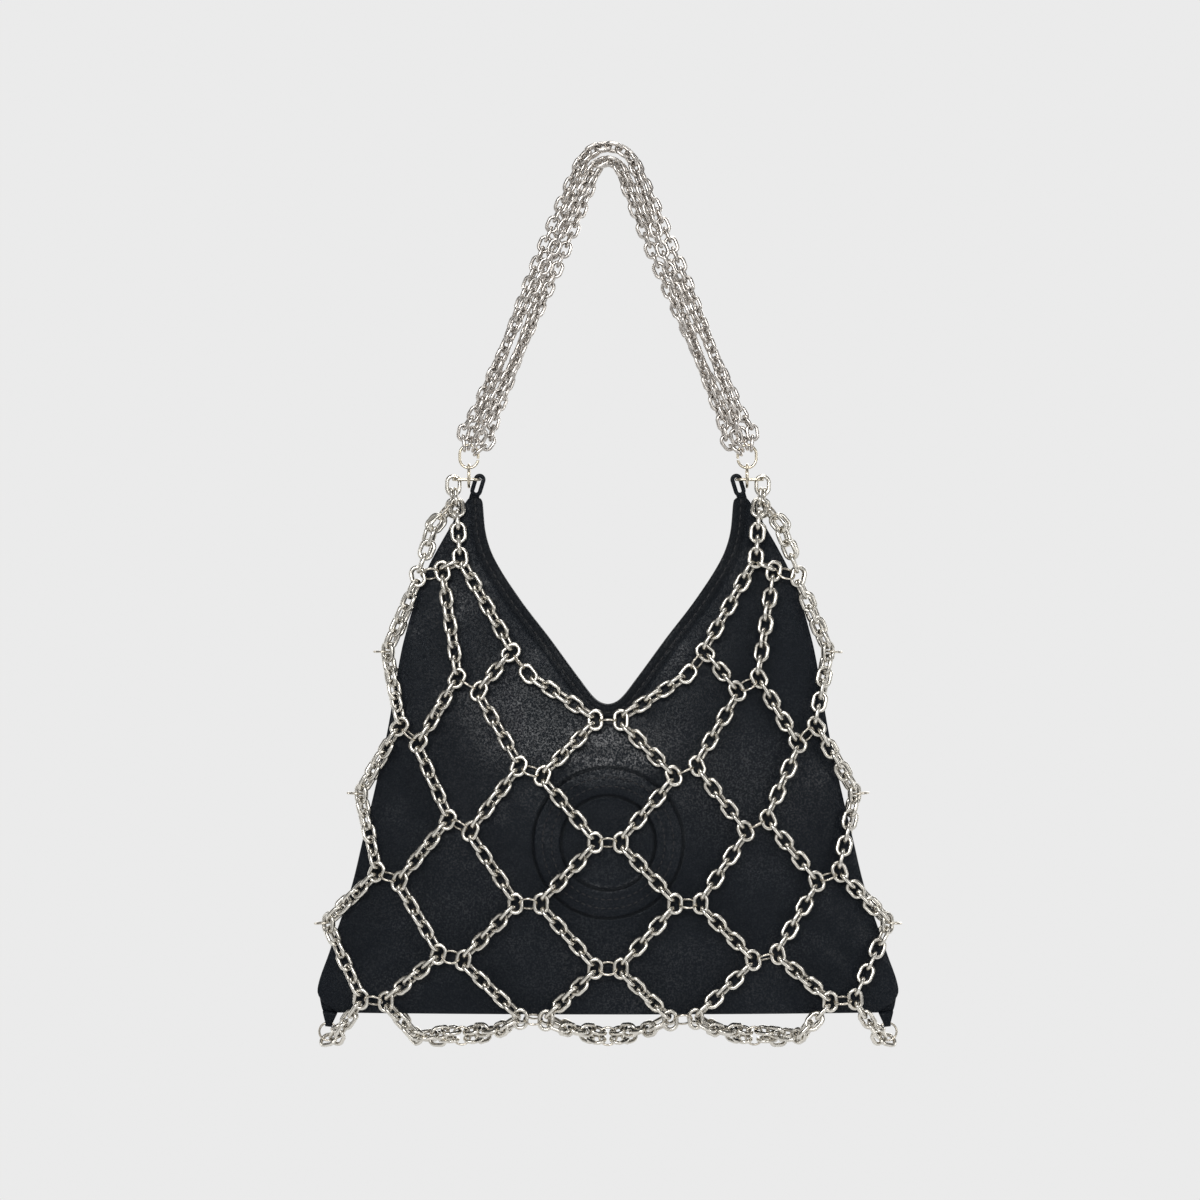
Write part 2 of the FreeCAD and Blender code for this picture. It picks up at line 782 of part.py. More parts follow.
# Rings between the handle and the pouch
for side, hand in ((1, "right"), (-1, "left")):
    centre = V(side * RING_X, 0, END_RING_Z)
    ring = placed(end_ring.solid, centre, Z, Y)
    cut = Part.makeBox(END_RING_WIDTH, END_RING_WIDTH, RING_CUT,
                       V(0, -END_RING_WIDTH / 2, -end_ring.end - RING_CUT))
    cut.translate(centre - X * (END_RING_WIDTH if side > 0 else 0))
    keep(hand + "_end_ring", [ring.cut(cut)])
    keep(hand + "_connector", [placed(
        connector.solid, V(side * RING_X, 0, CONNECTOR_Z), Z, X)])
    keep(hand + "_yoke", [placed(yoke.solid, V(side * YOKE_X, 0, YOKE_Z), X, Z)])

# Handle: four strands over the hang point

INNER_BEND = HANDLE_BEND - STRAND_OFFSET * math.cos(math.radians(STRAND_START))
BEND_Z = -(INNER_BEND - HANDLE_LINK_WIDTH / 2)
fan = V(RING_X, 0, FAN_Z)
bend = V(0, 0, BEND_Z)
to_bend = bend - fan
leg_angle = math.atan2(to_bend.z, to_bend.x) - math.asin(HANDLE_BEND / to_bend.Length)
LEG = math.sqrt(to_bend.Length ** 2 - HANDLE_BEND ** 2)
leg_dir = V(math.cos(leg_angle), 0, math.sin(leg_angle))
arc_angle = 2 * (math.pi - leg_angle)
ARC = HANDLE_BEND * arc_angle
TOTAL = 2 * LEG + ARC


def handle_line(s):
    """Middle line of the handle: point and outward direction, right to left."""
    if s > TOTAL / 2:
        point, out = handle_line(TOTAL - s)
        return mirrored(point, -1, 1), mirrored(out, -1, 1)
    if s <= LEG:
        return fan + leg_dir * s, V(leg_dir.z, 0, -leg_dir.x)
    turn = leg_angle - math.pi / 2 + (s - LEG) / HANDLE_BEND
    out = V(math.cos(turn), 0, math.sin(turn))
    return bend + out * HANDLE_BEND, out


def strand_angle(k, s):
    """Angle of a strand about the middle line, for the slow twist."""
    twist = HANDLE_TWIST * (2 * s / TOTAL - 1)
    return math.radians(STRAND_START + STRAND_STEP * k + twist)


def bundle_point(k, s):
    """Point of a strand where it runs in the bundle."""
    point, out = handle_line(s)
    turn = strand_angle(k, s)
    return point + (out * math.cos(turn) + Y * math.sin(turn)) * STRAND_OFFSET


def turned(angle):
    """Direction of the right leg, turned towards the outside by an angle."""
    return V(math.cos(leg_angle - angle), 0, math.sin(leg_angle - angle))


def half_strand(k, far):
    """Points of half a strand from its end ring to the middle, and its aim.

    Strands in front and behind lean apart on the ring; those beside do not.
    """
    turn = strand_angle(k, TOTAL if far else 0)
    beside = abs(math.cos(turn)) > abs(math.sin(turn))
    sign = math.copysign(1, math.cos(turn) if beside else math.sin(turn))
    held = turned(sign * math.radians(RING_HOLD[beside]))
    aim = turned(sign * math.radians(RING_AIM[beside]))
    lean = sign * math.radians(RING_LEAN[beside])
    inward = held * math.cos(lean) + Y * math.sin(lean)
    leaning = aim * math.cos(lean) + Y * math.sin(lean)
    hook = fan + held * end_ring.side - inward * ((grip.wire + RING_WIRE) / 2 + HOLD_PLAY)
    pivot = hook + leaning * (grip.tip + grip.end)
    level = (pivot - fan).dot(leg_dir)
    pts = [mixed(hook, pivot, i / LINE_POINTS) for i in range(LINE_POINTS)]
    for i in range(LINE_POINTS + 1):
        run = (TOTAL / 2 - level) * i / LINE_POINTS
        s = level + run
        there = bundle_point(k, TOTAL - s if far else s)
        there = mirrored(there, -1, 1) if far else there
        pts.append(mixed(pivot + aim * run, there, eased(run / FAN_LENGTH)))
    if far:
        return [mirrored(p, -1, 1) for p in pts], mirrored(aim, -1, 1)
    return pts, aim


def strand_frames(k):
    """Frames of the links of one strand of the handle."""
    near, near_aim = half_strand(k, False)
    rest, far_aim = half_strand(k, True)
    pts = near + rest[-2::-1]
    run = [0.0]
    for a, b in zip(pts, pts[1:]):
        run.append(run[-1] + (b - a).Length)
    span = run[-1] - 2 * grip.tip
    steps = math.ceil(span / (grip.pitch * handle_pitch_share))
    steps += 1 - steps % 2
    pitch = span / steps

    def locate(d):
        return min(range(len(run)), key=lambda i: abs(run[i] - d))

    frames = []
    for i in range(steps + 1):
        d = grip.tip + i * pitch
        ends = grip.end if i in (0, steps) else pitch / 2
        along = unit(pts[locate(d + ends)] - pts[locate(d - ends)])
        point = pts[locate(d)]
        s = TOTAL * d / run[-1]
        out = handle_line(s)[1]
        turn = strand_angle(0, s) + (0 if i % 2 else math.pi / 2)
        normal = out * math.cos(turn) + Y * math.sin(turn)
        if i == 0:
            normal = near_aim.cross(Y)
        if i == steps:
            normal = far_aim.cross(Y)
        frames.append((point, along, normal))
    return frames


for k in range(4):
    keep("handle_strand_" + str(k + 1), [
        placed(grip.solid, *frame) for frame in strand_frames(k)])

for name, solids in parts.items():
    shape = solids[0] if len(solids) == 1 else Part.makeCompound(solids)
    shape.exportStep("parts/" + name + ".step")
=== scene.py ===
"""Looks of a black leather shoulder bag in a net of chain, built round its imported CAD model."""

import logging
import math
from dataclasses import dataclass, field
from enum import Enum
from typing import Any, Optional, Sequence, Union

import bpy
import numpy as np
from mathutils import Matrix, Vector, noise


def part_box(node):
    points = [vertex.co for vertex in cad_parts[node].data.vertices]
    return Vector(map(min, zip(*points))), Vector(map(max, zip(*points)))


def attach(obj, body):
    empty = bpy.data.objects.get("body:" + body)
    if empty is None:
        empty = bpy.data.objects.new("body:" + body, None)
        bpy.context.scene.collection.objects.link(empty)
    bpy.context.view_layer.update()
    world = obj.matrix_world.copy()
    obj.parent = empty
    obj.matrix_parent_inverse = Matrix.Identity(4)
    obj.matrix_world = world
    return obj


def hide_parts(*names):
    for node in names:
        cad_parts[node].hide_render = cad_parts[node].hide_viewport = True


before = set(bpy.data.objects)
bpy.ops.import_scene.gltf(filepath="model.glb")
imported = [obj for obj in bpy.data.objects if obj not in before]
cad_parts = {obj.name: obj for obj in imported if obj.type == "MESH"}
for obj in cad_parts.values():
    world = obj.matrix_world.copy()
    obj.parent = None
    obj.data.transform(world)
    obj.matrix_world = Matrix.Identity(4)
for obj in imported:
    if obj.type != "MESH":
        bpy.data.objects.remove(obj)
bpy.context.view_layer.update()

log = logging.getLogger("chain_bag")
MM = 0.001
BAND_HEIGHT = -304.0 * MM
BAND_RADII = (21.0 * MM, 34.0 * MM)
EDGE_ROUND = 0.8 * MM
WELD = 2e-6

Pair = tuple[float, float]
Pairs = tuple[Pair, ...]
Triple = tuple[float, float, float]
Faces = list[tuple[int, ...]]
Settings = Optional[dict[Any, Any]]
Array = np.ndarray
Material = bpy.types.Material
Mesh = bpy.types.Mesh
Node = bpy.types.Node
Piece = bpy.types.Object
Socket = bpy.types.NodeSocket


class Side(Enum):
    """A choice between two sides of the bag."""

    @property
    def word(self) -> str:
        """The side's name in the CAD nodes."""
        return self.name.lower()


class Face(Side):
    """The two faces of the bag; the value is the sign of Y outwards."""

    FRONT = -1
    BACK = 1


class Hand(Side):
    """The left and right of the bag; the value is the sign of X."""

    LEFT = -1
    RIGHT = 1


# Node trees and shader maths


class NodeTree:
    """A node tree under construction."""

    def __init__(self, tree: bpy.types.NodeTree) -> None:
        """Starts with an empty tree.

        Args:
            tree: the tree to fill.
        """
        self.tree = tree
        tree.nodes.clear()

    def add(self, kind: str, settings: Settings = None, inputs: Settings = None) -> Node:
        """Adds a node.

        Args:
            kind: the node's type name.
            settings: its properties, set first.
            inputs: values or links for its sockets, by name or number.

        Returns:
            The node.
        """
        node = self.tree.nodes.new(kind)
        for key, value in (settings or {}).items():
            setattr(node, key, value)
        for key, value in (inputs or {}).items():
            if isinstance(value, Val):
                value = value.socket
            if isinstance(value, Socket):
                self.tree.links.new(value, node.inputs[key])
            else:
                node.inputs[key].default_value = value
        return node

    def math(self, operation: str, *values: Any) -> Socket:
        """A Math node on some values."""
        node = self.add("ShaderNodeMath", {"operation": operation}, dict(enumerate(values)))
        return node.outputs[0]


class Val:
    """A value socket of a shader that can be used in sums."""

    def __init__(self, shader: "Shader", socket: Socket) -> None:
        """Keeps the socket with the shader it belongs to."""
        self.shader = shader
        self.socket = socket

    def _do(self, operation: str, *values: "Number") -> "Val":
        """A Math node on some values."""
        return Val(self.shader, self.shader.math(operation, *values))

    def __add__(self, other: "Number") -> "Val":
        """Sum."""
        return self._do("ADD", self, other)

    def __radd__(self, other: "Number") -> "Val":
        """Sum with a number on the left."""
        return self._do("ADD", other, self)

    def __sub__(self, other: "Number") -> "Val":
        """Difference."""
        return self._do("SUBTRACT", self, other)

    def __rsub__(self, other: "Number") -> "Val":
        """Difference from a number."""
        return self._do("SUBTRACT", other, self)

    def __mul__(self, other: "Number") -> "Val":
        """Product."""
        return self._do("MULTIPLY", self, other)

    def root(self) -> "Val":
        """Square root."""
        return self._do("SQRT", self)

    def size(self) -> "Val":
        """Value without its sign."""
        return self._do("ABSOLUTE", self)

    def larger(self, other: "Number") -> "Val":
        """The larger of two values."""
        return self._do("MAXIMUM", self, other)

    def wave(self, pitch: float) -> "Val":
        """A wave from 0 to 1 along the value, of a given length."""
        return self._do("SINE", self * (2 * math.pi / pitch)) * 0.5 + 0.5

    def smooth(self, low: float, high: float) -> "Val":
        """A soft step from 0 at low to 1 at high.

        Args:
            low: value at which the step starts.
            high: value at which it is done.

        Returns:
            The stepped value, from 0 to 1.
        """
        node = self.shader.add(
            "ShaderNodeMapRange", {"interpolation_type": "SMOOTHSTEP"},
            {"Value": self, "From Min": low, "From Max": high, "To Min": 0.0, "To Max": 1.0})
        return Val(self.shader, node.outputs["Result"])


Number = Union[int, float, Val]


class Shader(NodeTree):
    """A material's node tree under construction."""

    def __init__(self, name: str) -> None:
        """Starts an empty material with an output and object coordinates.

        Args:
            name: name of the material.
        """
        self.material = bpy.data.materials.new(name)
        self.material.use_nodes = True
        super().__init__(self.material.node_tree)
        self.output = self.add("ShaderNodeOutputMaterial")
        self.place = self.add("ShaderNodeTexCoord").outputs["Object"]

    def noise(self, scale: float, detail: float = 3.0, rough: float = 0.5) -> Val:
        """Noise over the object, as a value about 0.5.

        Args:
            scale: features to a metre.
            detail: octaves of finer noise.
            rough: weight of the finer noise.

        Returns:
            The noise.
        """
        node = self.add("ShaderNodeTexNoise", None, {
            "Vector": self.place, "Scale": scale, "Detail": detail, "Roughness": rough})
        return Val(self, node.outputs["Fac"])

    def cells(self, scale: float) -> Val:
        """Distance from the edges of small cells.

        Args:
            scale: cells to a metre.

        Returns:
            The distance, as a share of a cell.
        """
        node = self.add("ShaderNodeTexVoronoi", {"feature": "DISTANCE_TO_EDGE"}, {
            "Vector": self.place, "Scale": scale, "Randomness": 1.0})
        return Val(self, node.outputs["Distance"])

    def axes(self) -> tuple[Val, Val, Val]:
        """Object coordinates as three values."""
        node = self.add("ShaderNodeSeparateXYZ", None, {0: self.place})
        return tuple(Val(self, s) for s in node.outputs)

    def attribute(self, name: str) -> Val:
        """A value stored on the mesh."""
        node = self.add("ShaderNodeAttribute", {"attribute_name": name})
        return Val(self, node.outputs["Fac"])

    def blend(self, factor: Number, low: Any, high: Any) -> Socket:
        """A mix of two colours.

        Args:
            factor: share of the second colour.
            low: first colour or link.
            high: second colour or link.

        Returns:
            The mixed colour.
        """
        node = self.add("ShaderNodeMix", {"data_type": "RGBA"}, {0: factor, 6: low, 7: high})
        return node.outputs[2]

    def bump(self, height: Val, strength: float, distance: float) -> Socket:
        """A normal raised by a height.

        Args:
            height: height, about 0 to 1.
            strength: strength of the relief.
            distance: depth of the relief, in metres.

        Returns:
            The normal.
        """
        node = self.add("ShaderNodeBump", None, {
            "Strength": strength, "Distance": distance, "Height": height})
        return node.outputs["Normal"]

    def finish(self, **sockets: Any) -> Material:
        """Closes the material with a Principled shader.

        Args:
            **sockets: values or links; an underscore in a name stands for a space.

        Returns:
            The material.
        """
        inputs = {key.replace("_", " "): value for key, value in sockets.items()}
        node = self.add("ShaderNodeBsdfPrincipled", None, inputs)
        self.tree.links.new(node.outputs[0], self.output.inputs["Surface"])
        return self.material


def rgba(colour: Sequence[float]) -> tuple[float, float, float, float]:
    """A colour with full alpha."""
    return (colour[0], colour[1], colour[2], 1.0)


@dataclass(frozen=True)
class LeatherFinish:
    """Black leather with a fine grain and a soft speckled sheen."""

    name: str
    colour: Triple = (0.0026, 0.0037, 0.0062)
    worn: Triple = (0.0068, 0.0088, 0.0128)
    hemmed: Triple = (0.0020, 0.0025, 0.0038)
    gloss: Triple = (0.82, 0.92, 1.0)
    rough: float = 0.27
    pores: float = 1350.0
    broad_pores: float = 0.31
    clouds: float = 42.0
    fibres: float = 5200.0
    specks: float = 1150.0
    relief: float = 0.00026
    groove_edge: Pair = (0.3 * MM, 1.2 * MM)
    specular: float = 0.16
    coat_rough: float = 0.30
    coat_index: float = 1.7

    def groove(self, s: "Shader") -> Val:
        """The two edges of the round band, whose grooves are darkened in colour as painted shade.

        Args:
            s: the shader that it is part of.

        Returns:
            1 at an edge, fading to 0 beside it.
        """
        x, _, z = s.axes()
        up = z - BAND_HEIGHT
        away = (x * x + up * up).root()
        inner, outer = [1 - (away - r).size().smooth(*self.groove_edge) for r in BAND_RADII]
        return inner.larger(outer) * s.attribute("banded")

    def material(self) -> Material:
        """Builds the material.

        Returns:
            The leather.
        """
        s = Shader(self.name)
        cloud = s.noise(self.clouds, 4.0, 0.55)
        fine = s.noise(self.fibres, 2.0)
        cell = s.cells(self.pores).smooth(0.0, 0.22)
        broad = s.cells(self.pores * self.broad_pores).smooth(0.0, 0.10)
        grain = cell * 0.55 + broad * 0.25 + fine * 0.35
        tone = cloud.smooth(0.30, 0.75) * 0.40 + cell * 0.40
        hem = s.attribute("hem")
        groove = self.groove(s)
        normal = s.bump(grain - groove * 2.0, 0.70, self.relief)
        speck = s.noise(self.specks, 3.0, 0.65).smooth(0.44, 0.66)
        shine = s.attribute("shine") + cloud.smooth(0.46, 0.74) * 0.20 + 0.06
        coat = shine * (speck * 1.6 + 0.04) * (1 - hem * 0.6) * (1 - groove * 0.9)
        leather = s.blend(tone, rgba(self.colour), rgba(self.worn))
        # Painted shade: the hem colour also darkens the edge grooves of the round band.
        colour = s.blend((hem * 0.8).larger(groove), leather, rgba(self.hemmed))
        roughness = self.rough + cloud * 0.10 - cell * 0.05 + fine * 0.05 + hem * 0.08
        return s.finish(
            Base_Color=colour, Roughness=roughness, Normal=normal,
            Specular_IOR_Level=self.specular, Specular_Tint=rgba(self.gloss),
            Coat_Weight=coat, Coat_Roughness=self.coat_rough, Coat_IOR=self.coat_index)


@dataclass(frozen=True)
class LiningFinish:
    """Black twill."""

    name: str
    colour: Triple = (0.011, 0.011, 0.012)
    pale: Triple = (0.030, 0.030, 0.032)
    rib: float = 0.7 * MM
    yarn: float = 0.7 * MM / 2.2

    def material(self) -> Material:
        """Builds the material.

        Returns:
            The cloth.
        """
        s = Shader(self.name)
        x, _, z = s.axes()
        weave = (x + z).wave(self.rib) * 0.7 + (x - z).wave(self.yarn) * 0.3
        cloud = s.noise(60.0)
        colour = s.blend(weave * 0.7 + cloud * 0.3, rgba(self.colour), rgba(self.pale))
        return s.finish(Base_Color=colour, Roughness=0.78 + cloud * 0.12,
                        Normal=s.bump(weave, 0.4, 0.0002), Sheen_Weight=0.15)


@dataclass(frozen=True)
class ThreadFinish:
    """Waxed black thread."""

    name: str
    colour: Triple = (0.012, 0.012, 0.014)
    pale: Triple = (0.020, 0.021, 0.024)
    twist: float = 0.45 * MM

    def material(self) -> Material:
        """Builds the material.

        Returns:
            The thread.
        """
        s = Shader(self.name)
        x, y, z = s.axes()
        ply = (x + y + z).wave(self.twist)
        colour = s.blend(ply * 0.6, rgba(self.colour), rgba(self.pale))
        return s.finish(Base_Color=colour, Roughness=0.42 + ply * 0.15, Specular_IOR_Level=0.4,
                        Normal=s.bump(ply, 0.4, 0.0001))


@dataclass(frozen=True)
class MetalFinish:
    """Polished plated metal with stains, faint scratches and painted shade in the hollows of its
    links.
    """

    name: str
    bright: Triple
    dark: Triple
    rough: float
    linked: bool = False
    spots: float = 900.0
    streaks: float = 260.0

    def material(self) -> Material:
        """Builds the material.

        Returns:
            The metal.
        """
        s = Shader(self.name)
        spots = s.noise(self.spots, 4.0, 0.6)
        streak = s.noise(self.streaks, 5.0, 0.7)
        stain_and_shade = streak.smooth(0.46, 0.74) * 0.30
        if self.linked:
            # Painted shade: the wire is darkened where it faces the hole of its link; the streaks
            # are stains and the random tone per link is the metal's own.
            inside = s.attribute("link_hollow_shade").smooth(0.45, 1.0)
            stain_and_shade = stain_and_shade + inside * 0.62 + s.attribute("link_tone") * 0.14
        colour = s.blend(stain_and_shade, rgba(self.bright), rgba(self.dark))
        roughness = self.rough + streak * 0.10 + spots * 0.06 + stain_and_shade * 0.10
        return s.finish(Base_Color=colour, Metallic=1.0, Roughness=roughness,
                        Normal=s.bump(spots * 0.6 + streak * 0.4, 0.10, 0.00012))


@dataclass(frozen=True)
class FloorFinish:
    """Pale studio paper that fades out at its rim."""

    name: str
    fade: Pair = (0.45, 1.3)
    colour: Triple = (0.80, 0.80, 0.80)

    def material(self) -> Material:
        """Builds the material.

        Returns:
            The paper.
        """
        s = Shader(self.name)
        grain = s.noise(700.0, 3.0)
        tone = s.blend(grain, rgba(self.colour), rgba([c * 0.985 for c in self.colour]))
        x, y, _ = s.axes()
        shown = 1 - (x * x + y * y).root().smooth(*self.fade)
        return s.finish(Base_Color=tone, Roughness=0.9, Alpha=shown)


def made(finish: Any) -> Any:
    """A dataclass field that builds a finish's material."""
    return field(default_factory=finish.material)


@dataclass
class Finishes:
    """All the finishes of the bag, made once."""

    leather: Material = made(LeatherFinish("black_leather"))
    facing: Material = made(LeatherFinish("facing_leather", rough=0.46, pores=1900.0))
    strap: Material = made(LeatherFinish("strap_leather", rough=0.30, pores=2100.0))
    lining: Material = made(LiningFinish("twill_lining"))
    thread: Material = made(ThreadFinish("waxed_thread"))
    net: Material = made(MetalFinish(
        "net_chain_nickel", (0.87, 0.835, 0.76), (0.21, 0.19, 0.16), 0.15, True))
    handle: Material = made(MetalFinish(
        "handle_chain_nickel", (0.80, 0.755, 0.705), (0.085, 0.076, 0.068), 0.17, True))
    jump: Material = made(MetalFinish(
        "jump_ring_nickel", (0.81, 0.75, 0.65), (0.21, 0.19, 0.16), 0.13, True))
    ring: Material = made(MetalFinish(
        "pale_ring_metal", (0.72, 0.65, 0.52), (0.28, 0.24, 0.17), 0.13))
    snap: Material = made(MetalFinish(
        "satin_snap_metal", (0.60, 0.59, 0.57), (0.24, 0.23, 0.22), 0.30))


# Mesh helpers


def new_object(name: str, mesh: Mesh, material: Optional[Material] = None) -> Piece:
    """Links a mesh into the scene.

    Args:
        name: name of the piece.
        mesh: its mesh.
        material: its finish, if the mesh has none yet.

    Returns:
        The object.
    """
    if material is not None:
        mesh.materials.clear()
        mesh.materials.append(material)
    obj = bpy.data.objects.new(name, mesh)
    bpy.context.scene.collection.objects.link(obj)
    return obj


def settle(piece: Piece, body: str, slot: str, *nodes: str) -> None:
    """Hangs a finished piece on its body and reports it.

    Args:
        piece: the piece.
        body: CAD body that it moves with.
        slot: the record's material slot; not used.
        *nodes: CAD nodes that it stands for.
    """
    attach(piece, body)
    if nodes:
        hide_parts(*nodes)
    log.info("%s: %d faces", piece.name, len(piece.data.polygons))


def solid_mesh(name: str, points: Array, faces: Faces) -> Mesh:
    """A smooth mesh from points and faces.

    Args:
        name: name of the mesh.
        points: corners, in metres.
        faces: corner numbers of each face.

    Returns:
        The mesh.
    """
    mesh = bpy.data.meshes.new(name)
    mesh.from_pydata(points.tolist(), [], faces)
    mesh.polygons.foreach_set("use_smooth", [True] * len(mesh.polygons))
    mesh.update()
    return mesh


def ring_faces(count: int, ring: int, closed: bool) -> Faces:
    """Faces of a tube made of rings of points.

    Args:
        count: number of rings.
        ring: points in each ring.
        closed: whether the last ring joins the first.

    Returns:
        Four corner numbers for each face.
    """
    faces = []
    for i in range(count if closed else count - 1):
        here, there = i * ring, (i + 1) % count * ring
        for k in range(ring):
            m = (k + 1) % ring
            faces.append((here + k, there + k, there + m, here + m))
    return faces


def corners(mesh: Mesh) -> Array:
    """Corners of a mesh, one to a row."""
    place = np.empty(len(mesh.vertices) * 3, np.float32)
    mesh.vertices.foreach_get("co", place)
    return place.reshape(-1, 3).astype(float)


def smooth_curve(places: Sequence[float], values: Sequence[float], at: Array) -> Array:
    """Values of a smooth curve through a table.

    Args:
        places: places of the table, rising.
        values: values at these places.
        at: where the curve is read.

    Returns:
        The values there.
    """
    p, v = np.asarray(places, float), np.asarray(values, float)
    slope = np.empty_like(v)
    slope[1:-1] = (v[2:] - v[:-2]) / (p[2:] - p[:-2])
    slope[0] = (v[1] - v[0]) / (p[1] - p[0])
    slope[-1] = (v[-1] - v[-2]) / (p[-1] - p[-2])
    x = np.clip(np.asarray(at, float), p[0], p[-1])
    k = np.clip(np.searchsorted(p, x, "right") - 1, 0, len(p) - 2)
    step = p[k + 1] - p[k]
    t = (x - p[k]) / step
    return ((1 + 2 * t) * (1 - t) ** 2 * v[k] + t * (1 - t) ** 2 * step * slope[k]
            + t * t * (3 - 2 * t) * v[k + 1] + t * t * (t - 1) * step * slope[k + 1])


def softly(value: Array, low: float, high: float) -> Array:
    """A soft step from 0 at low to 1 at high."""
    t = np.clip((value - low) / (high - low), 0, 1)
    return t * t * (3 - 2 * t)


def hump(x: Array, z: Array, size: Pair) -> Array:
    """A soft hump: 1 at the origin, fading over a width and a height."""
    return np.exp(-((x / size[0]) ** 2 + (z / size[1]) ** 2))


def mirrored(half: Array) -> Array:
    """A line with its mirror image on the left; its first point is in the middle."""
    return np.concatenate([half[:0:-1] * (-1, 1), half])


def run_of(line: Array) -> Array:
    """Length along a line at each of its points."""
    return np.concatenate([[0], np.cumsum(np.linalg.norm(np.diff(line, axis=0), axis=1))])


def nearest(points: Array, line: Array, batch: int = 2000) -> Array:
    """Distance of each point from a line of points.

    Args:
        points: places, in the same plane as the line.
        line: points of the line, close together.
        batch: points looked at together, to save memory.

    Returns:
        The distances.
    """
    out = np.empty(len(points))
    for start in range(0, len(points), batch):
        gap = points[start:start + batch, None, :] - line[None, :, :]
        out[start:start + batch] = np.sqrt((gap ** 2).sum(2).min(1))
    return out


def crowded(count: int, edge: float) -> Array:
    """Shares from 0 to 1, crowded at both ends for a rounded edge.

    Args:
        count: steps in the middle.
        edge: share of the length that the rounding takes.

    Returns:
        The shares.
    """
    near = edge * (1 - np.cos(np.radians([0, 25, 50, 70, 90])))
    middle = np.linspace(edge, 1 - edge, count + 1)
    return np.concatenate([near[:-1], middle, 1 - near[:-1][::-1]])


def turn_of(along: Array, normal: Array) -> list[float]:
    """Quaternion of a frame with X along one direction and Z along another.

    Args:
        along: direction of X.
        normal: direction of Z, made square to X.

    Returns:
        The quaternion.
    """
    x = Vector(along).normalized()
    z = Vector(normal)
    z = (z - x * z.dot(x)).normalized()
    y = z.cross(x)
    return list(Matrix((x, y, z)).transposed().to_quaternion())


# Geometry Nodes


class Growth(NodeTree):
    """A Geometry Nodes tree under construction, with named inputs."""

    def __init__(self, name: str) -> None:
        """Starts a tree with a geometry input and output.

        Args:
            name: name of the tree.
        """
        super().__init__(bpy.data.node_groups.new(name, "GeometryNodeTree"))
        for title, way in (("Points", "INPUT"), ("Geometry", "OUTPUT")):
            self.tree.interface.new_socket(
                name=title, in_out=way, socket_type="NodeSocketGeometry")
        self.start = self.add("NodeGroupInput")
        self.stop = self.add("NodeGroupOutput")
        self.values: dict[str, Any] = {}

    def entry(self, name: str, kind: str, value: Any) -> Socket:
        """A named input of the tree.

        Args:
            name: name of the input.
            kind: last word of its socket type.
            value: value that the modifier gives it.

        Returns:
            The socket that carries it inside the tree.
        """
        item = self.tree.interface.new_socket(
            name=name, in_out="INPUT", socket_type="NodeSocket" + kind)
        self.values[item.identifier] = value
        return self.start.outputs[name]

    def scatter(self, piece: Socket, material: Material, seed: int) -> None:
        """Closes the tree: a copy of the piece at every point, as one plain mesh.

        Args:
            piece: the geometry that repeats.
            material: its finish.
            seed: seed of the tone that differs from copy to copy.
        """
        turn = self.add("GeometryNodeInputNamedAttribute", {"data_type": "QUATERNION"},
                        {"Name": "turn"})
        copies = self.add("GeometryNodeInstanceOnPoints", None, {
            "Points": self.start.outputs["Points"], "Instance": piece,
            "Rotation": turn.outputs["Attribute"]})
        tone = self.add("FunctionNodeRandomValue", {"data_type": "FLOAT"}, {"Seed": seed})
        shown = [o for o in tone.outputs if o.type == "VALUE" and o.enabled][0]
        named = self.add(
            "GeometryNodeStoreNamedAttribute", {"data_type": "FLOAT", "domain": "INSTANCE"},
            {"Geometry": copies.outputs["Instances"], "Name": "link_tone", "Value": shown})
        real = self.add("GeometryNodeRealizeInstances", None, {0: named.outputs[0]})
        done = self.add("GeometryNodeSetMaterial", None, {
            "Geometry": real.outputs[0],
            "Material": self.entry("Material", "Material", material)})
        self.tree.links.new(done.outputs[0], self.stop.inputs["Geometry"])

    def grow(self, name: str, points: Array, turns: Array) -> Piece:
        """Runs the tree on points and keeps the result as a plain mesh.

        Args:
            name: name of the piece.
            points: places of the copies.
            turns: their turns, as quaternions.

        Returns:
            The piece.
        """
        seeds = bpy.data.meshes.new(name + "_points")
        seeds.from_pydata(points.tolist(), [], [])
        store = seeds.attributes.new("turn", "QUATERNION", "POINT")
        store.data.foreach_set("value", turns.astype(np.float32).ravel())
        carrier = new_object(name + "_carrier", seeds)
        modifier = carrier.modifiers.new("grow", "NODES")
        modifier.node_group = self.tree
        for identifier, value in self.values.items():
            modifier[identifier] = value
        graph = bpy.context.evaluated_depsgraph_get()
        mesh = bpy.data.meshes.new_from_object(carrier.evaluated_get(graph))
        carrier.modifiers.remove(modifier)
        bpy.data.objects.remove(carrier)
        mesh.name = name
        return new_object(name, mesh)


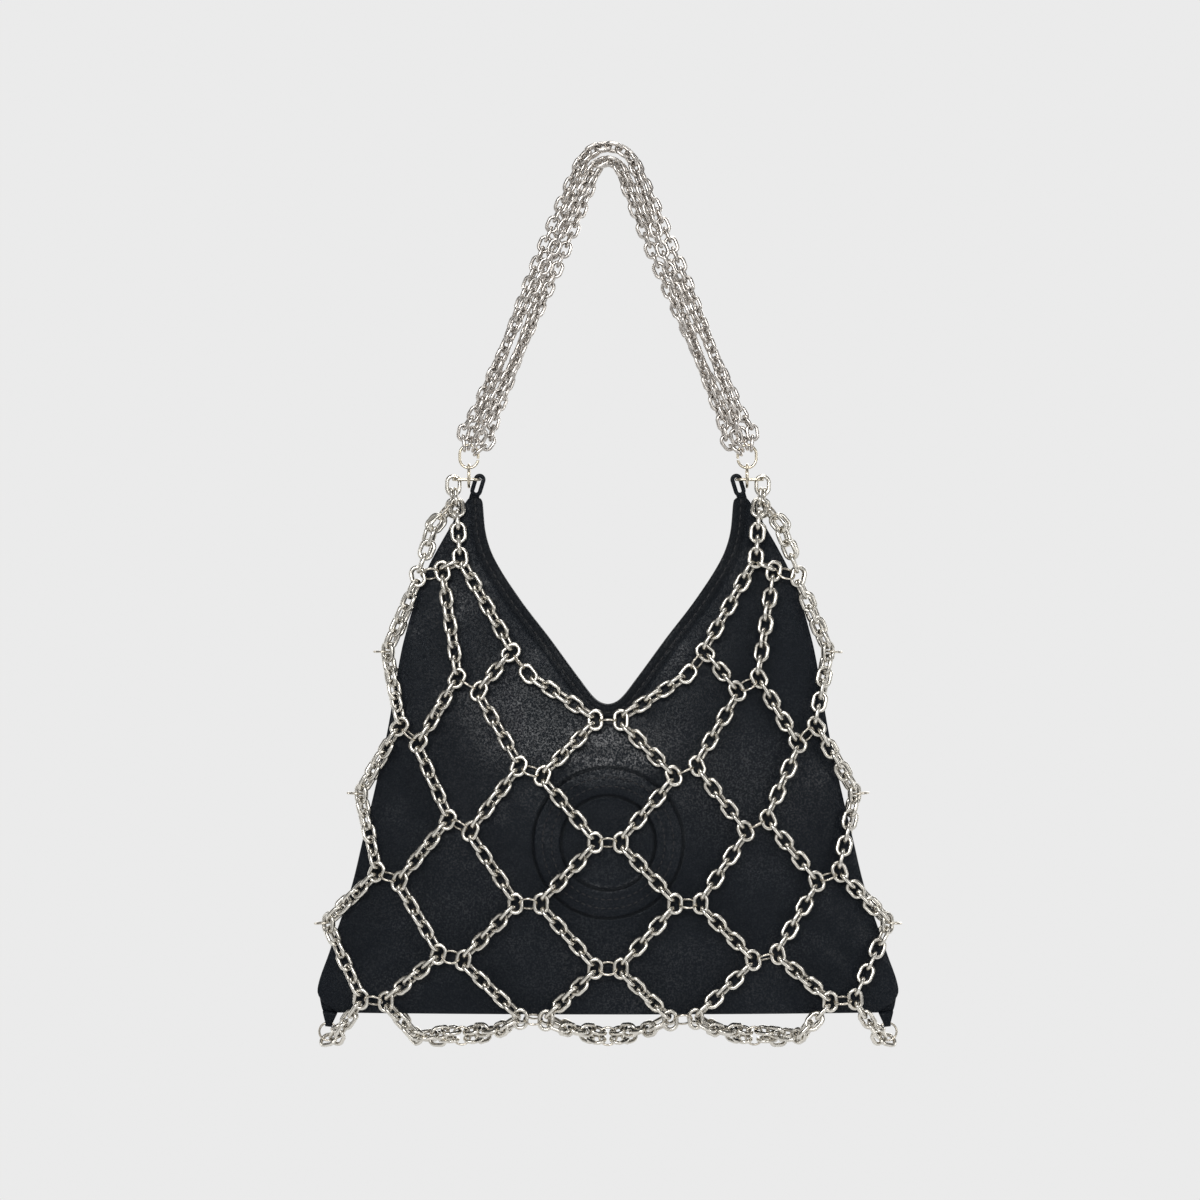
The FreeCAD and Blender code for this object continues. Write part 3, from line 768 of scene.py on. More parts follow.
@dataclass
class OvalLink:
    """A link or ring of round wire, repeated by Geometry Nodes."""

    name: str
    length: float
    width: float
    wire: float
    material: Material
    around: int = 24
    sides: int = 8
    seed: int = 7

    def tree(self) -> Growth:
        """Builds the tree of the link.

        Returns:
            The tree, ready to grow on points.
        """
        g = Growth(self.name)
        length = g.entry("Length", "Float", self.length)
        width = g.entry("Width", "Float", self.width)
        wire = g.entry("Wire", "Float", self.wire)
        around = g.entry("Steps Around", "Int", self.around)
        sides = g.entry("Wire Sides", "Int", self.sides)
        side = g.math("MULTIPLY", g.math("SUBTRACT", width, wire), 0.5)
        end = g.math("MULTIPLY", g.math("SUBTRACT", length, width), 0.5)
        path, rim = [
            g.add("GeometryNodeCurvePrimitiveCircle", {"mode": "RADIUS"},
                  {"Resolution": steps, "Radius": radius}).outputs["Curve"]
            for steps, radius in ((around, side), (sides, g.math("MULTIPLY", wire, 0.5)))]
        place = g.add("GeometryNodeInputPosition").outputs[0]
        x = g.add("ShaderNodeSeparateXYZ", None, {0: place}).outputs[0]
        push = g.math("MULTIPLY", g.math("SIGN", x), end)
        shift = g.add("ShaderNodeCombineXYZ", None, {0: push})
        oval = g.add("GeometryNodeSetPosition", None, {
            "Geometry": path, "Offset": shift.outputs[0]})
        tube = g.add("GeometryNodeCurveToMesh", None, {
            "Curve": oval.outputs[0], "Profile Curve": rim})
        smooth = g.add("GeometryNodeSetShadeSmooth", None, {"Geometry": tube.outputs[0]})
        # Painted shade mask: 1 where the wire faces the hole of its link, 0 where it faces out.
        away = g.add("ShaderNodeVectorMath", {"operation": "NORMALIZE"}, {0: place})
        normal = g.add("GeometryNodeInputNormal").outputs[0]
        facing = g.add("ShaderNodeVectorMath", {"operation": "DOT_PRODUCT"}, {
            0: normal, 1: away.outputs[0]})
        inside = g.math("MULTIPLY_ADD", facing.outputs["Value"], -0.5, 0.5)
        named = g.add(
            "GeometryNodeStoreNamedAttribute", {"data_type": "FLOAT", "domain": "POINT"},
            {"Geometry": smooth.outputs[0], "Name": "link_hollow_shade", "Value": inside})
        g.scatter(named.outputs[0], self.material, self.seed)
        return g


@dataclass
class Stitch:
    """A short stitch of thread, repeated by Geometry Nodes."""

    name: str
    material: Material
    length: float = 2.7 * MM
    width: float = 0.75 * MM
    rise: float = 0.55 * MM
    seed: int = 11

    def tree(self) -> Growth:
        """Builds the tree of the stitch.

        Returns:
            The tree, ready to grow on points.
        """
        g = Growth(self.name)
        sizes = [g.entry(title, "Float", value) for title, value in (
            ("Length", self.length), ("Width", self.width), ("Rise", self.rise))]
        bead = g.add("GeometryNodeMeshUVSphere", None, {
            "Segments": 8, "Rings": 6, "Radius": 0.5})
        size = g.add("ShaderNodeCombineXYZ", None, dict(enumerate(sizes)))
        shaped = g.add("GeometryNodeTransform", None, {
            "Geometry": bead.outputs["Mesh"], "Scale": size.outputs[0]})
        smooth = g.add("GeometryNodeSetShadeSmooth", None, {"Geometry": shaped.outputs[0]})
        g.scatter(smooth.outputs[0], self.material, self.seed)
        return g


@dataclass
class WireFrames:
    """Places and turns of the wire solids of some CAD nodes, read from their meshes."""

    nodes: Sequence[str]
    lean: Triple = (0.2, 0.9, 0.4)
    round_within: float = 0.3 * MM
    roll: float = 0.0
    calm: Optional[Array] = None
    calm_reach: Pair = (5.5 * MM, 13.0 * MM)
    level_calm: float = 2.2

    def read(self) -> tuple[Array, Array]:
        """Finds every link.

        Returns:
            Centres, and turns as quaternions.
        """
        centres, turns = [], []
        for node in self.nodes:
            for cloud in self.solids(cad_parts[node].data):
                centre, axes = self.axes(cloud)
                along = axes[0]
                uneven = np.ptp(cloud @ axes[0]) - np.ptp(cloud @ axes[1])
                if abs(uneven) < self.round_within:
                    lean = np.array(self.lean)
                    along = lean - axes[2] * (lean @ axes[2])
                centres.append(centre)
                turns.append(turn_of(along, self.rolled(centre, along, axes[2])))
        return np.array(centres), np.array(turns)

    def rolled(self, centre: Array, along: Array, normal: Array) -> Array:
        """Turns a link a little about its own chain, but not beside a ring.

        Args:
            centre: middle of the link.
            along: its long direction.
            normal: direction square to the link.

        Returns:
            The turned square direction.
        """
        if self.calm is None:
            return normal
        down = along if along[2] < 0 else -along
        free = softly(np.linalg.norm(self.calm - centre, axis=1).min(), *self.calm_reach)
        turn = math.radians(self.roll) * free * min(1.0, self.level_calm * abs(down[2]))
        return normal * math.cos(turn) + np.cross(down, normal) * math.sin(turn)

    @staticmethod
    def axes(cloud: Array) -> tuple[Array, Array]:
        """Centre and principal directions of a solid.

        Args:
            cloud: its corners.

        Returns:
            The centre, and three directions, the longest first.
        """
        middle = cloud.mean(0)
        axes = np.linalg.svd(cloud - middle, full_matrices=False)[2]
        reach = (cloud - middle) @ axes.T
        return middle + ((reach.max(0) + reach.min(0)) / 2) @ axes, axes

    @staticmethod
    def solids(mesh: Mesh) -> list[Array]:
        """Corners of each separate solid of a mesh.

        Args:
            mesh: mesh of a CAD node, of loose triangles.

        Returns:
            One array of corners for each solid.
        """
        place = corners(mesh)
        mesh.calc_loop_triangles()
        corner = np.empty(len(mesh.loop_triangles) * 3, np.int32)
        mesh.loop_triangles.foreach_get("vertices", corner)
        cells = np.round(place / WELD).astype(np.int64)
        keys, joined = np.unique(cells, axis=0, return_inverse=True)
        joined = joined.ravel()
        tri = joined[corner].reshape(-1, 3)
        label = np.arange(len(keys))
        while True:
            fresh = label.copy()
            np.minimum.at(fresh, tri.ravel(), np.repeat(label[tri].min(1), 3))
            fresh = fresh[fresh]
            if (fresh == label).all():
                break
            label = fresh
        spots = np.zeros((len(keys), 3))
        spots[joined] = place
        return [spots[label == k] for k in np.unique(label)]


# The pouch


@dataclass
class PouchShape:
    """Outline and swell of the pouch, as the CAD model has them."""

    width: float = 263.0 * MM
    height: float = 233.0 * MM
    depth: float = 31.0 * MM
    leather: float = 1.6 * MM
    seam: float = 0.3 * MM
    gap: float = 0.3 * MM
    level_shares: tuple[float, ...] = (0.0, 0.02, 0.045, 0.116, 0.241, 0.342,
                                       0.434, 0.546, 0.633, 0.724, 0.846, 0.955, 1.0)
    width_shares: tuple[float, ...] = (0.93, 0.98, 1.0, 0.962, 0.89, 0.849,
                                       0.812, 0.771, 0.745, 0.714, 0.645, 0.54, 0.487)
    depth_shares: tuple[float, ...] = (0.77, 0.79, 0.83, 0.91, 1.0, 1.0,
                                       0.93, 0.74, 0.58, 0.45, 0.32, 0.23, 0.2)
    neck_shares: Pairs = (
        (0.0, 0.598), (0.04, 0.607), (0.095, 0.645), (0.2, 0.726), (0.3, 0.8),
        (0.388, 0.878), (0.42, 0.93), (0.43, 1.0))
    bottom: float = field(init=False)

    def __post_init__(self) -> None:
        """Takes the height of the bottom edge from the CAD model."""
        self.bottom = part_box("front_panel")[0].z

    def half_width(self, h: Array) -> Array:
        """Half width at height shares."""
        return self.width / 2 * smooth_curve(self.level_shares, self.width_shares, h)

    def swell(self, h: Array, x: Array) -> Array:
        """Distance of a panel's inner face from the middle plane.

        Args:
            h: height shares.
            x: places across.

        Returns:
            The distances.
        """
        w = self.half_width(h)
        d = self.depth / 2 * smooth_curve(self.level_shares, self.depth_shares, h)
        radius = (w * w + d * d) / (2 * d)
        x = np.minimum(np.abs(x), w)
        return self.seam + np.sqrt(radius * radius - x * x) - radius + d

    def share(self, z: Array) -> Array:
        """Height share of a height."""
        return (z - self.bottom) / self.height

    def wide(self, z: Array) -> Array:
        """Half width at heights."""
        return self.half_width(self.share(z))

    def stand(self, spots: Array) -> Array:
        """Distance of a panel's inner face from the middle plane, at points across and up."""
        return self.swell(self.share(spots[..., 1]), spots[..., 0])

    def neck(self, margin: float = 0.0, count: int = 240) -> Array:
        """Right half of the neck's edge, from the bottom of the V up.

        Args:
            margin: distance into the leather.
            count: points of the line.

        Returns:
            Points across and up.
        """
        half = np.array(self.neck_shares) * (self.width / 2, self.height) + (0, self.bottom)
        whole = mirrored(half)
        run = run_of(whole)
        at = np.linspace(run[len(half) - 1], run[-1], count)
        line = np.stack([smooth_curve(run, whole[:, i], at) for i in (0, 1)], 1)
        line[0, 0] = 0.0
        along = np.gradient(line, axis=0)
        along[0] = (1, 0)
        along /= np.linalg.norm(along, axis=1)[:, None]
        return line + np.stack([along[:, 1], -along[:, 0]], 1) * margin


@dataclass
class Pouch:
    """The leather pouch with its facings, lining, base and stitches."""

    shape: PouchShape
    finishes: Finishes
    steps: tuple[int, int] = (112, 140)
    lining_steps: tuple[int, int] = (60, 60)
    base_steps: tuple[int, int] = (120, 20)
    base_rise: float = 0.5 * MM
    facing_width: float = 11.0 * MM
    facing_thick: float = 0.7 * MM
    lining_thick: float = 0.5 * MM
    lining_inset: float = 8.0 * MM
    stitch_inset: float = 3.6 * MM
    stitch_pitch: float = 3.5 * MM
    stitch_lift: float = 0.05 * MM
    round_pitch: float = 3.0 * MM
    round_radii: Pair = (25.5 * MM, 29.5 * MM)
    hem_width: float = 5.6 * MM
    hem_fade: float = 0.8 * MM
    hem_rise: float = 0.6 * MM
    dip: float = 0.28 * MM
    dip_width: float = 0.9 * MM
    sway: float = 1.5 * MM
    sway_scale: Triple = (17.0, 13.0, 3.7)
    ripple: float = 0.40 * MM
    ripple_scale: Triple = (46.0, 34.0, 8.1)
    pad: float = 1.3 * MM
    pad_drop: float = 27.0 * MM
    pad_size: Pair = (34.0 * MM, 9.5 * MM)
    crease: float = 0.45 * MM
    crease_slant: Pair = (252.0, 336.0)
    corner_place: Pair = (108.0 * MM, 18.0 * MM)
    corner_size: Pair = (26.0 * MM, 20.0 * MM)
    drape: float = 0.35 * MM
    drape_turns: float = 240.0
    drape_reach: float = 30.0 * MM
    drape_start: Pair = (8.0 * MM, 16.0 * MM)
    soft_range: Pair = (-0.6 * MM, 1.2 * MM)
    most_rise: float = 1.3 * MM
    band_rise: float = 0.9 * MM
    band_flank: float = 1.4 * MM
    shine_spots: tuple[tuple[float, ...], ...] = (
        (2 * MM, -262 * MM, 22 * MM, 9 * MM, 0.36), (-44 * MM, -250 * MM, 32 * MM, 20 * MM, 0.13),
        (58 * MM, -280 * MM, 30 * MM, 24 * MM, 0.36), (-70 * MM, -335 * MM, 34 * MM, 22 * MM, 0.12),
        (20 * MM, -362 * MM, 60 * MM, 20 * MM, 0.16))

    def build(self) -> None:
        """Builds and dresses every piece of the pouch."""
        for face in Face:
            self.panel(face)
            self.facing(face)
            self.lining(face)
            self.neck_stitches(face)
        self.base()
        self.round_stitches()

    def half_grid(self, top: Array, inset: float, low: float,
                  steps: tuple[int, int]) -> Array:
        """Grid of a layer's right half, from its middle line to its side.

        Args:
            top: points of its upper edge, from the middle out.
            inset: distance of its side from the side of the pouch.
            low: height share of its lower edge.
            steps: steps across and up it.

        Returns:
            Points across and up, by row and column.
        """
        shape = self.shape
        run = run_of(top)
        lines = crowded(steps[0] * 2, EDGE_ROUND / shape.width)
        u = (lines[len(lines) // 2:] - 0.5) * 2
        u[0] = 0.0
        t = crowded(steps[1], EDGE_ROUND / (0.75 * shape.height))[:, None]
        tx, tz = [np.interp(u * run[-1], run, top[:, i]) for i in (0, 1)]
        z0 = shape.bottom + low * shape.height
        z = z0 + t * (tz - z0)[None, :]
        ratio = (1 - t) * u[None, :] + t * (tx / (shape.wide(tz) - inset))[None, :]
        return np.stack([ratio * (shape.wide(z) - inset), z], 2)

    def rounded(self, neck: Array) -> Array:
        """Upper edge of a panel: the neck, and the peak with its corners rounded off.

        Args:
            neck: points of the neck's right half.

        Returns:
            Points across and up.
        """
        shape = self.shape
        high = shape.bottom + shape.height
        side = shape.width / 2 * shape.width_shares[-1]
        flat = np.linspace(neck[-1, 0], side, 24)[1:]
        edge = np.concatenate([neck, np.stack([flat, 0 * flat + high], 1)])
        middle, reach = (neck[-1, 0] + side) / 2, (side - neck[-1, 0]) / 2
        out = np.clip((edge[:, 0] - middle) / reach, -1, 1)
        drop = reach * (1 - np.sqrt(1 - np.abs(out) ** 3)) * 0.8
        edge[:, 1] -= drop * softly(edge[:, 1], high - 3 * reach, high)
        return edge

    @staticmethod
    def whole(half: Array) -> Array:
        """A grid with its mirror image on the left."""
        return np.concatenate([half[:, :0:-1] * (-1, 1), half], 1)

    def shell(self, name: str, grid: Array, inner: Array, outer: Array,
              face: Face, material: Material) -> Piece:
        """A closed sheet with rounded edges between two surfaces.

        Args:
            name: name of the piece.
            grid: points across and up, by row and column.
            inner: distance of its inner side from the middle plane.
            outer: distance of its outer side from the middle plane.
            face: face of the bag that it is on.
            material: its finish.

        Returns:
            The piece.
        """
        m, n = grid.shape[:2]
        edge = np.zeros((m, n), bool)
        edge[[0, -1], :] = True
        edge[:, [0, -1]] = True
        radius = float(np.median(outer - inner)) / 2
        away = nearest(grid.reshape(-1, 2), grid[edge]).reshape(m, n)
        round_off = np.sqrt(1 - (1 - np.clip(away / radius, 0, 1)) ** 2)
        round_off[edge] = 0
        middle, half = (inner + outer) / 2, (outer - inner) / 2 * round_off
        sign = face.value
        sides = [np.stack([grid[..., 0], sign * (middle + way * half), grid[..., 1]], 2)
                 for way in (1, -1)]
        first = np.arange(m * n).reshape(m, n)
        second = first.copy()
        second[~edge] = m * n + np.arange((~edge).sum())
        points = np.concatenate([sides[0].reshape(-1, 3), sides[1][~edge]])
        faces = []
        for number, turned in ((first, sign > 0), (second, sign < 0)):
            quads = np.stack([number[:-1, :-1], number[:-1, 1:],
                              number[1:, 1:], number[1:, :-1]], 2).reshape(-1, 4)
            faces += (quads[:, ::-1] if turned else quads).tolist()
        return new_object(name, solid_mesh(name, points, faces), material)

    def from_neck(self, spots: Array) -> Array:
        """Distance of points across and up from the neck's edge."""
        return nearest(spots, mirrored(self.shape.neck()))

    def hemmed(self, away: Array) -> Array:
        """1 on the turned hem and 0 off it, by distance from the neck's edge."""
        return 1 - softly(away, self.hem_width - self.hem_fade, self.hem_width + self.hem_fade)

    def softness(self, grid: Array, face: Face) -> Array:
        """How far the soft leather stands out from its even shape.

        Args:
            grid: points across and up.
            face: face of the bag.

        Returns:
            Distances outwards.
        """
        shape = self.shape
        x, z = grid[..., 0], grid[..., 1]
        flat = grid.reshape(-1, 2)
        sway, ripple = [
            np.array([noise.noise(Vector((p[0] * across, p[1] * up, face.value * seed)))
                      for p in flat]).reshape(x.shape)
            for across, up, seed in (self.sway_scale, self.ripple_scale)]
        away = self.from_neck(flat).reshape(x.shape)
        pad = hump(x, z - shape.neck()[0, 1] + self.pad_drop, self.pad_size)
        across, up = self.corner_place
        corner = hump(np.abs(x) - across, z - shape.bottom - up, self.corner_size)
        slant, steep = self.crease_slant
        crease = np.sin(np.abs(x) * slant + (z - shape.bottom) * steep)
        dip = self.dip * np.exp(-((away - self.stitch_inset) / self.dip_width) ** 2)
        drape = self.drape * np.sin(away * self.drape_turns) * np.exp(-away / self.drape_reach)
        soft = (self.sway * sway + self.ripple * ripple + self.pad * pad
                + self.crease * corner * crease + drape * softly(away, *self.drape_start))
        soft = np.clip(soft, *self.soft_range) + self.hem_rise * self.hemmed(away) - dip
        return np.minimum(soft + self.band(x, z, face), self.most_rise)

    def band(self, x: Array, z: Array, face: Face) -> Array:
        """Rise of a plain round band pressed up from behind, on the front only.

        Args:
            x: places across.
            z: heights.
            face: face of the bag.

        Returns:
            Distances outwards.
        """
        if face is Face.BACK:
            return 0 * x
        away = np.hypot(x, z - BAND_HEIGHT)
        up, down = [softly(away, r - self.band_flank, r + self.band_flank) for r in BAND_RADII]
        return self.band_rise * up * (1 - down)

    def panel(self, face: Face) -> None:
        """One leather panel with its V neck.

        Args:
            face: face of the bag.
        """
        shape = self.shape
        top = self.rounded(shape.neck())
        grid = self.whole(self.half_grid(top, 0.0, 0.0, self.steps))
        inner = shape.stand(grid)
        outer = inner + shape.leather + self.softness(grid, face)
        leather = self.finishes.leather
        piece = self.shell(face.word + "_leather", grid, inner, outer, face, leather)
        self.mark(piece, face)
        settle(piece, "bag", "leather", face.word + "_panel")

    def mark(self, piece: Piece, face: Face) -> None:
        """Stores on a panel where it is hemmed and shiny, and whether it has the round band.

        Args:
            piece: the panel.
            face: face of the bag.
        """
        points = corners(piece.data)[:, [0, 2]]
        hem = self.hemmed(self.from_neck(points))
        shine = 0 * hem
        for across, up, wide, tall, most in self.shine_spots:
            shine += most * hump(points[:, 0] - across, points[:, 1] - up, (wide, tall))
        banded = 0 * hem + (face is Face.FRONT)
        for name, values in (("hem", hem), ("shine", shine), ("banded", banded)):
            store = piece.data.attributes.new(name, "FLOAT", "POINT")
            store.data.foreach_set("value", values.astype(np.float32))

    def facing(self, face: Face) -> None:
        """The leather band along the inside of the neck.

        Args:
            face: face of the bag.
        """
        shape = self.shape
        edge, far = shape.neck(), shape.neck(self.facing_width)
        top = shape.bottom + shape.level_shares[-2] * shape.height
        keep = edge[:, 1] <= top
        across = crowded(8, self.facing_thick / 2 / self.facing_width)[:, None, None]
        half = far[keep][None] * (1 - across) + edge[keep][None] * across
        half[..., 1] = np.minimum(half[..., 1], top)
        half[..., 0] = np.minimum(half[..., 0], shape.wide(half[..., 1]) - self.lining_inset)
        grid = self.whole(half)
        outer = shape.stand(grid) - shape.gap
        piece = self.shell(face.word + "_neck_facing", grid, outer - self.facing_thick, outer,
                           face, self.finishes.facing)
        settle(piece, "bag", "facing_leather", face.word + "_facing")

    def lining(self, face: Face) -> None:
        """The cloth lining below the facing.

        Args:
            face: face of the bag.
        """
        shape = self.shape
        top = shape.neck(self.facing_width + shape.gap)
        top = top[top[:, 0] < shape.wide(top[:, 1]) - self.lining_inset - 0.2 * MM]
        grid = self.whole(self.half_grid(top, self.lining_inset, shape.level_shares[1],
                                         self.lining_steps))
        outer = shape.stand(grid) - shape.gap
        piece = self.shell(face.word + "_lining_cloth", grid, outer - self.lining_thick, outer,
                           face, self.finishes.lining)
        settle(piece, "bag", "lining", face.word + "_lining")

    def base(self) -> None:
        """The narrow leather base between the panels, made upright and then laid flat."""
        shape = self.shape
        wide = float(shape.half_width(np.zeros(1))[0]) - self.lining_inset
        s = crowded(self.base_steps[0], EDGE_ROUND / (2 * wide)) * 2 - 1
        t = crowded(self.base_steps[1], 0.06)[:, None] * 2 - 1
        x = np.broadcast_to(s * wide, (len(t), len(s)))
        y = t * (shape.swell(np.zeros_like(s), s * wide) - shape.gap)[None, :]
        crown = np.cos(t * math.pi / 2) * np.cos(s * math.pi / 2)[None, :] ** 0.5
        low, high = shape.bottom + 0 * x, shape.bottom + shape.leather + self.base_rise * crown
        piece = self.shell("base_leather", np.stack([x, y], 2), low, high, Face.BACK,
                           self.finishes.leather)
        laid = corners(piece.data)[:, [0, 2, 1]]
        piece.data.vertices.foreach_set("co", laid.ravel())
        piece.data.flip_normals()
        settle(piece, "bag", "leather", "base_panel")

    @staticmethod
    def sew(stitch: Stitch, name: str, points: list[Array], turns: list[list[float]]) -> None:
        """Grows stitches on the leather.

        Args:
            stitch: the stitch that repeats.
            name: name of the piece.
            points: places of the stitches, in groups.
            turns: a quaternion for each of them.
        """
        piece = stitch.tree().grow(name, np.concatenate(points), np.array(turns))
        settle(piece, "bag", "leather")

    def neck_stitches(self, face: Face) -> None:
        """The row of stitches along the neck, outside and on the facing.

        Args:
            face: face of the bag.
        """
        shape = self.shape
        line = mirrored(shape.neck(self.stitch_inset, 900))
        run = run_of(line)
        count = int(run[-1] / self.stitch_pitch)
        at = (np.arange(count) + 0.5) * run[-1] / count
        step = 0.3 * MM
        back, spots, ahead = [
            np.stack([np.interp(at + move, run, line[:, i]) for i in (0, 1)], 1)
            for move in (-step, 0.0, step)]
        soft = self.softness(spots[:, None, :], face)[:, 0]
        rise = face.value * (shape.stand(ahead) - shape.stand(back))
        along = np.stack([ahead[:, 0] - back[:, 0], rise, ahead[:, 1] - back[:, 1]], 1)
        points, turns = [], []
        inside = -shape.gap - self.facing_thick
        for depth, outward in ((shape.leather + soft, 1), (inside + 0 * soft, -1)):
            y = face.value * (shape.stand(spots) + depth + outward * self.stitch_lift)
            points.append(np.stack([spots[:, 0], y, spots[:, 1]], 1))
            turns += [turn_of(way, np.array([0, face.value * outward, 0])) for way in along]
        stitch = Stitch(face.word + "_neck_stitch", self.finishes.thread)
        self.sew(stitch, face.word + "_neck_stitches", points, turns)

    def round_stitches(self) -> None:
        """Two plain rings of stitches on the round band of the front."""
        shape = self.shape
        points, turns = [], []
        for radius in self.round_radii:
            count = int(2 * math.pi * radius / self.round_pitch)
            turn = 2 * math.pi * np.arange(count) / count
            across, up = np.cos(turn), np.sin(turn)
            spots = np.stack([radius * across, BAND_HEIGHT + radius * up], 1)
            soft = self.softness(spots[None], Face.FRONT)[0]
            y = -(shape.stand(spots) + shape.leather + soft)
            points.append(np.stack([spots[:, 0], y, spots[:, 1]], 1))
            turns += [turn_of(way, np.array([0, -1.0, 0]))
                      for way in np.stack([-up, 0 * up, across], 1)]
        stitch = Stitch("round_stitch", self.finishes.thread, 2.1 * MM, 0.75 * MM, 0.6 * MM)
        self.sew(stitch, "front_round_stitches", points, turns)


# Straps, chains and rings


@dataclass
class StrapLoop:
    """A narrow leather strap folded into a loop round a ring."""

    node: str
    name: str
    strap: float
    across: Triple
    tongue: float
    tongue_thick: float
    flare: float
    taper: float
    finishes: Finishes

    def build(self) -> None:
        """Builds the loop and the end that is sewn into the pouch."""
        place = corners(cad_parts[self.node].data)
        middle = (place.max(0) + place.min(0)) / 2
        axes = np.linalg.svd(place - place.mean(0), full_matrices=False)[2]
        along = axes[0] if axes[0][2] > 0 else -axes[0]
        across = np.array(self.across, float)
        across -= along * (across @ along)
        across /= np.linalg.norm(across)
        square = np.cross(along, across)
        reach = [np.ptp((place - middle) @ d) for d in (along, across, square)]
        points, faces = self.loop(*reach)
        more, more_faces = self.end(*reach[:2])
        faces += [tuple(i + len(points) for i in f) for f in more_faces]
        world = middle + np.concatenate([points, more]) @ np.stack([along, across, square])
        piece = new_object(self.name, solid_mesh(self.name, world, faces), self.finishes.strap)
        settle(piece, "bag", "strap_leather", self.node)

    def loop(self, long: float, wide: float, deep: float) -> tuple[Array, Faces]:
        """The closed loop, as a rounded strap swept round an oval.

        Args:
            long: length of the loop.
            wide: its breadth.
            deep: its depth.

        Returns:
            Points along, across and square to the loop, and faces.
        """
        radius = deep / 2 - self.strap / 2
        straight = long / 2 - deep / 2
        bend, path = 12, []
        for end in (1, -1):
            for k in range(bend + 1):
                turn = math.pi * k / bend
                out = np.array([math.sin(turn) * end, 0, math.cos(turn) * end])
                path.append((np.array([straight * end, 0, 0]) + out * radius, out))
        section = []
        soft = self.strap * 0.32
        for cx, cy, start in ((1, 1, 0), (-1, 1, 90), (-1, -1, 180), (1, -1, 270)):
            for k in range(4):
                turn = math.radians(start + 30 * k)
                section.append((cx * (wide / 2 - soft) + soft * math.cos(turn),
                                cy * (self.strap / 2 - soft) + soft * math.sin(turn)))
        points = np.array([p + np.array([0, a, 0]) + out * b for p, out in path
                           for a, b in section])
        root = softly(points[:, 0] * math.copysign(1, self.tongue) / long, -0.3, 0.5)
        points[:, 1] *= 1 + self.taper * root
        return points, ring_faces(len(path), len(section), True)

    def end(self, long: float, wide: float) -> tuple[Array, Faces]:
        """The flat end of the strap that goes in between the panels.

        Args:
            long: length of the loop.
            wide: its breadth.

        Returns:
            Points along, across and square to the loop, and faces.
        """
        sign = 1 if self.tongue > 0 else -1
        near = sign * (long / 2 - self.strap * 0.6)
        far = sign * (long / 2 + abs(self.tongue))
        start = wide * 0.46 * (1 + self.taper)
        points = []
        steps, ring = 7, 12
        for i in range(steps):
            share = i / (steps - 1)
            x = near + (far - near) * share
            half = start + (self.flare - start) * share ** 0.7
            for k in range(ring):
                turn = 2 * math.pi * k / ring
                out, up = math.cos(turn), math.sin(turn)
                points.append((x, half * math.copysign(abs(out) ** 0.4, out),
                               self.tongue_thick / 2 * math.copysign(abs(up) ** 0.5, up)))
        low, high = tuple(range(ring)), tuple(range((steps - 1) * ring, steps * ring))
        faces = ring_faces(steps, ring, False) + [low, high[::-1]]
        return np.array(points), [f[::-1] for f in faces] if sign > 0 else faces


@dataclass
class ChainNet:
    """The net of chain round the pouch, with its jump rings."""

    finishes: Finishes
    length: float = 10.2 * MM
    width: float = 7.6 * MM
    wire: float = 1.85 * MM
    ring: float = 9.0 * MM
    ring_wire: float = 1.0 * MM
    roll: float = 28.0
    strands: tuple[str, ...] = (
        "inner_chain", "outer_chain", "edge_chain", "middle_chain", "hanger")

    def build(self) -> None:
        """Builds the links of each face and all the rings."""
        link = OvalLink("net_link", self.length, self.width, self.wire, self.finishes.net)
        tree = link.tree()
        rings = ["front_net_rings", "back_net_rings", "bottom_rings"]
        for hand in Hand:
            rings += [hand.word + "_side_rings", hand.word + "_corner_ring"]
        centres, turns = WireFrames(rings).read()
        for face in Face:
            nodes = [f"{face.word}_{hand.word}_{strand}"
                     for hand in Hand for strand in self.strands]
            if face is Face.FRONT:
                nodes += ["left_hang_link", "right_hang_link"]
            still = [node for node in nodes if "hang" in node]
            loose = [node for node in nodes if node not in still]
            rolled = WireFrames(loose, roll=self.roll, calm=centres).read()
            joined = [np.concatenate(pair) for pair in zip(rolled, WireFrames(still).read())]
            piece = tree.grow(face.word + "_net_links", *joined)
            settle(piece, "bag", "net_chain_metal", *nodes)
        jump = OvalLink("jump_ring", self.ring, self.ring, self.ring_wire, self.finishes.jump,
                        around=28, seed=5)
        piece = jump.tree().grow("jump_rings", centres, turns)
        settle(piece, "bag", "jump_ring_metal", *rings)


@dataclass
class ChainHandle:
    """The four strands of chain that the bag hangs from."""

    finishes: Finishes
    length: float = 8.5 * MM
    width: float = 6.3 * MM
    wire: float = 1.65 * MM

    def build(self) -> None:
        """Builds the links of the four strands."""
        nodes = [f"handle_strand_{k}" for k in (1, 2, 3, 4)]
        link = OvalLink("handle_link", self.length, self.width, self.wire, self.finishes.handle,
                        seed=3)
        piece = link.tree().grow("handle_links", *WireFrames(nodes).read())
        settle(piece, "handle", "handle_chain_metal", *nodes)


@dataclass
class Hardware:
    """The rings between the handle and the pouch, and the snap inside."""

    finishes: Finishes

    def build(self) -> None:
        """Gives the CAD pieces their finishes."""
        for name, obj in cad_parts.items():
            if name.endswith(("_end_ring", "_connector", "_yoke")):
                self.dress(obj, self.finishes.ring)
            elif name.endswith("_snap"):
                self.dress(obj, self.finishes.snap)

    @staticmethod
    def dress(obj: Piece, material: Material) -> None:
        """Gives one CAD piece a finish."""
        if not obj.material_slots:
            obj.data.materials.append(material)
        for slot in obj.material_slots:
            slot.material = material
        log.info("%s: %s", obj.name, material.name)


# Studio


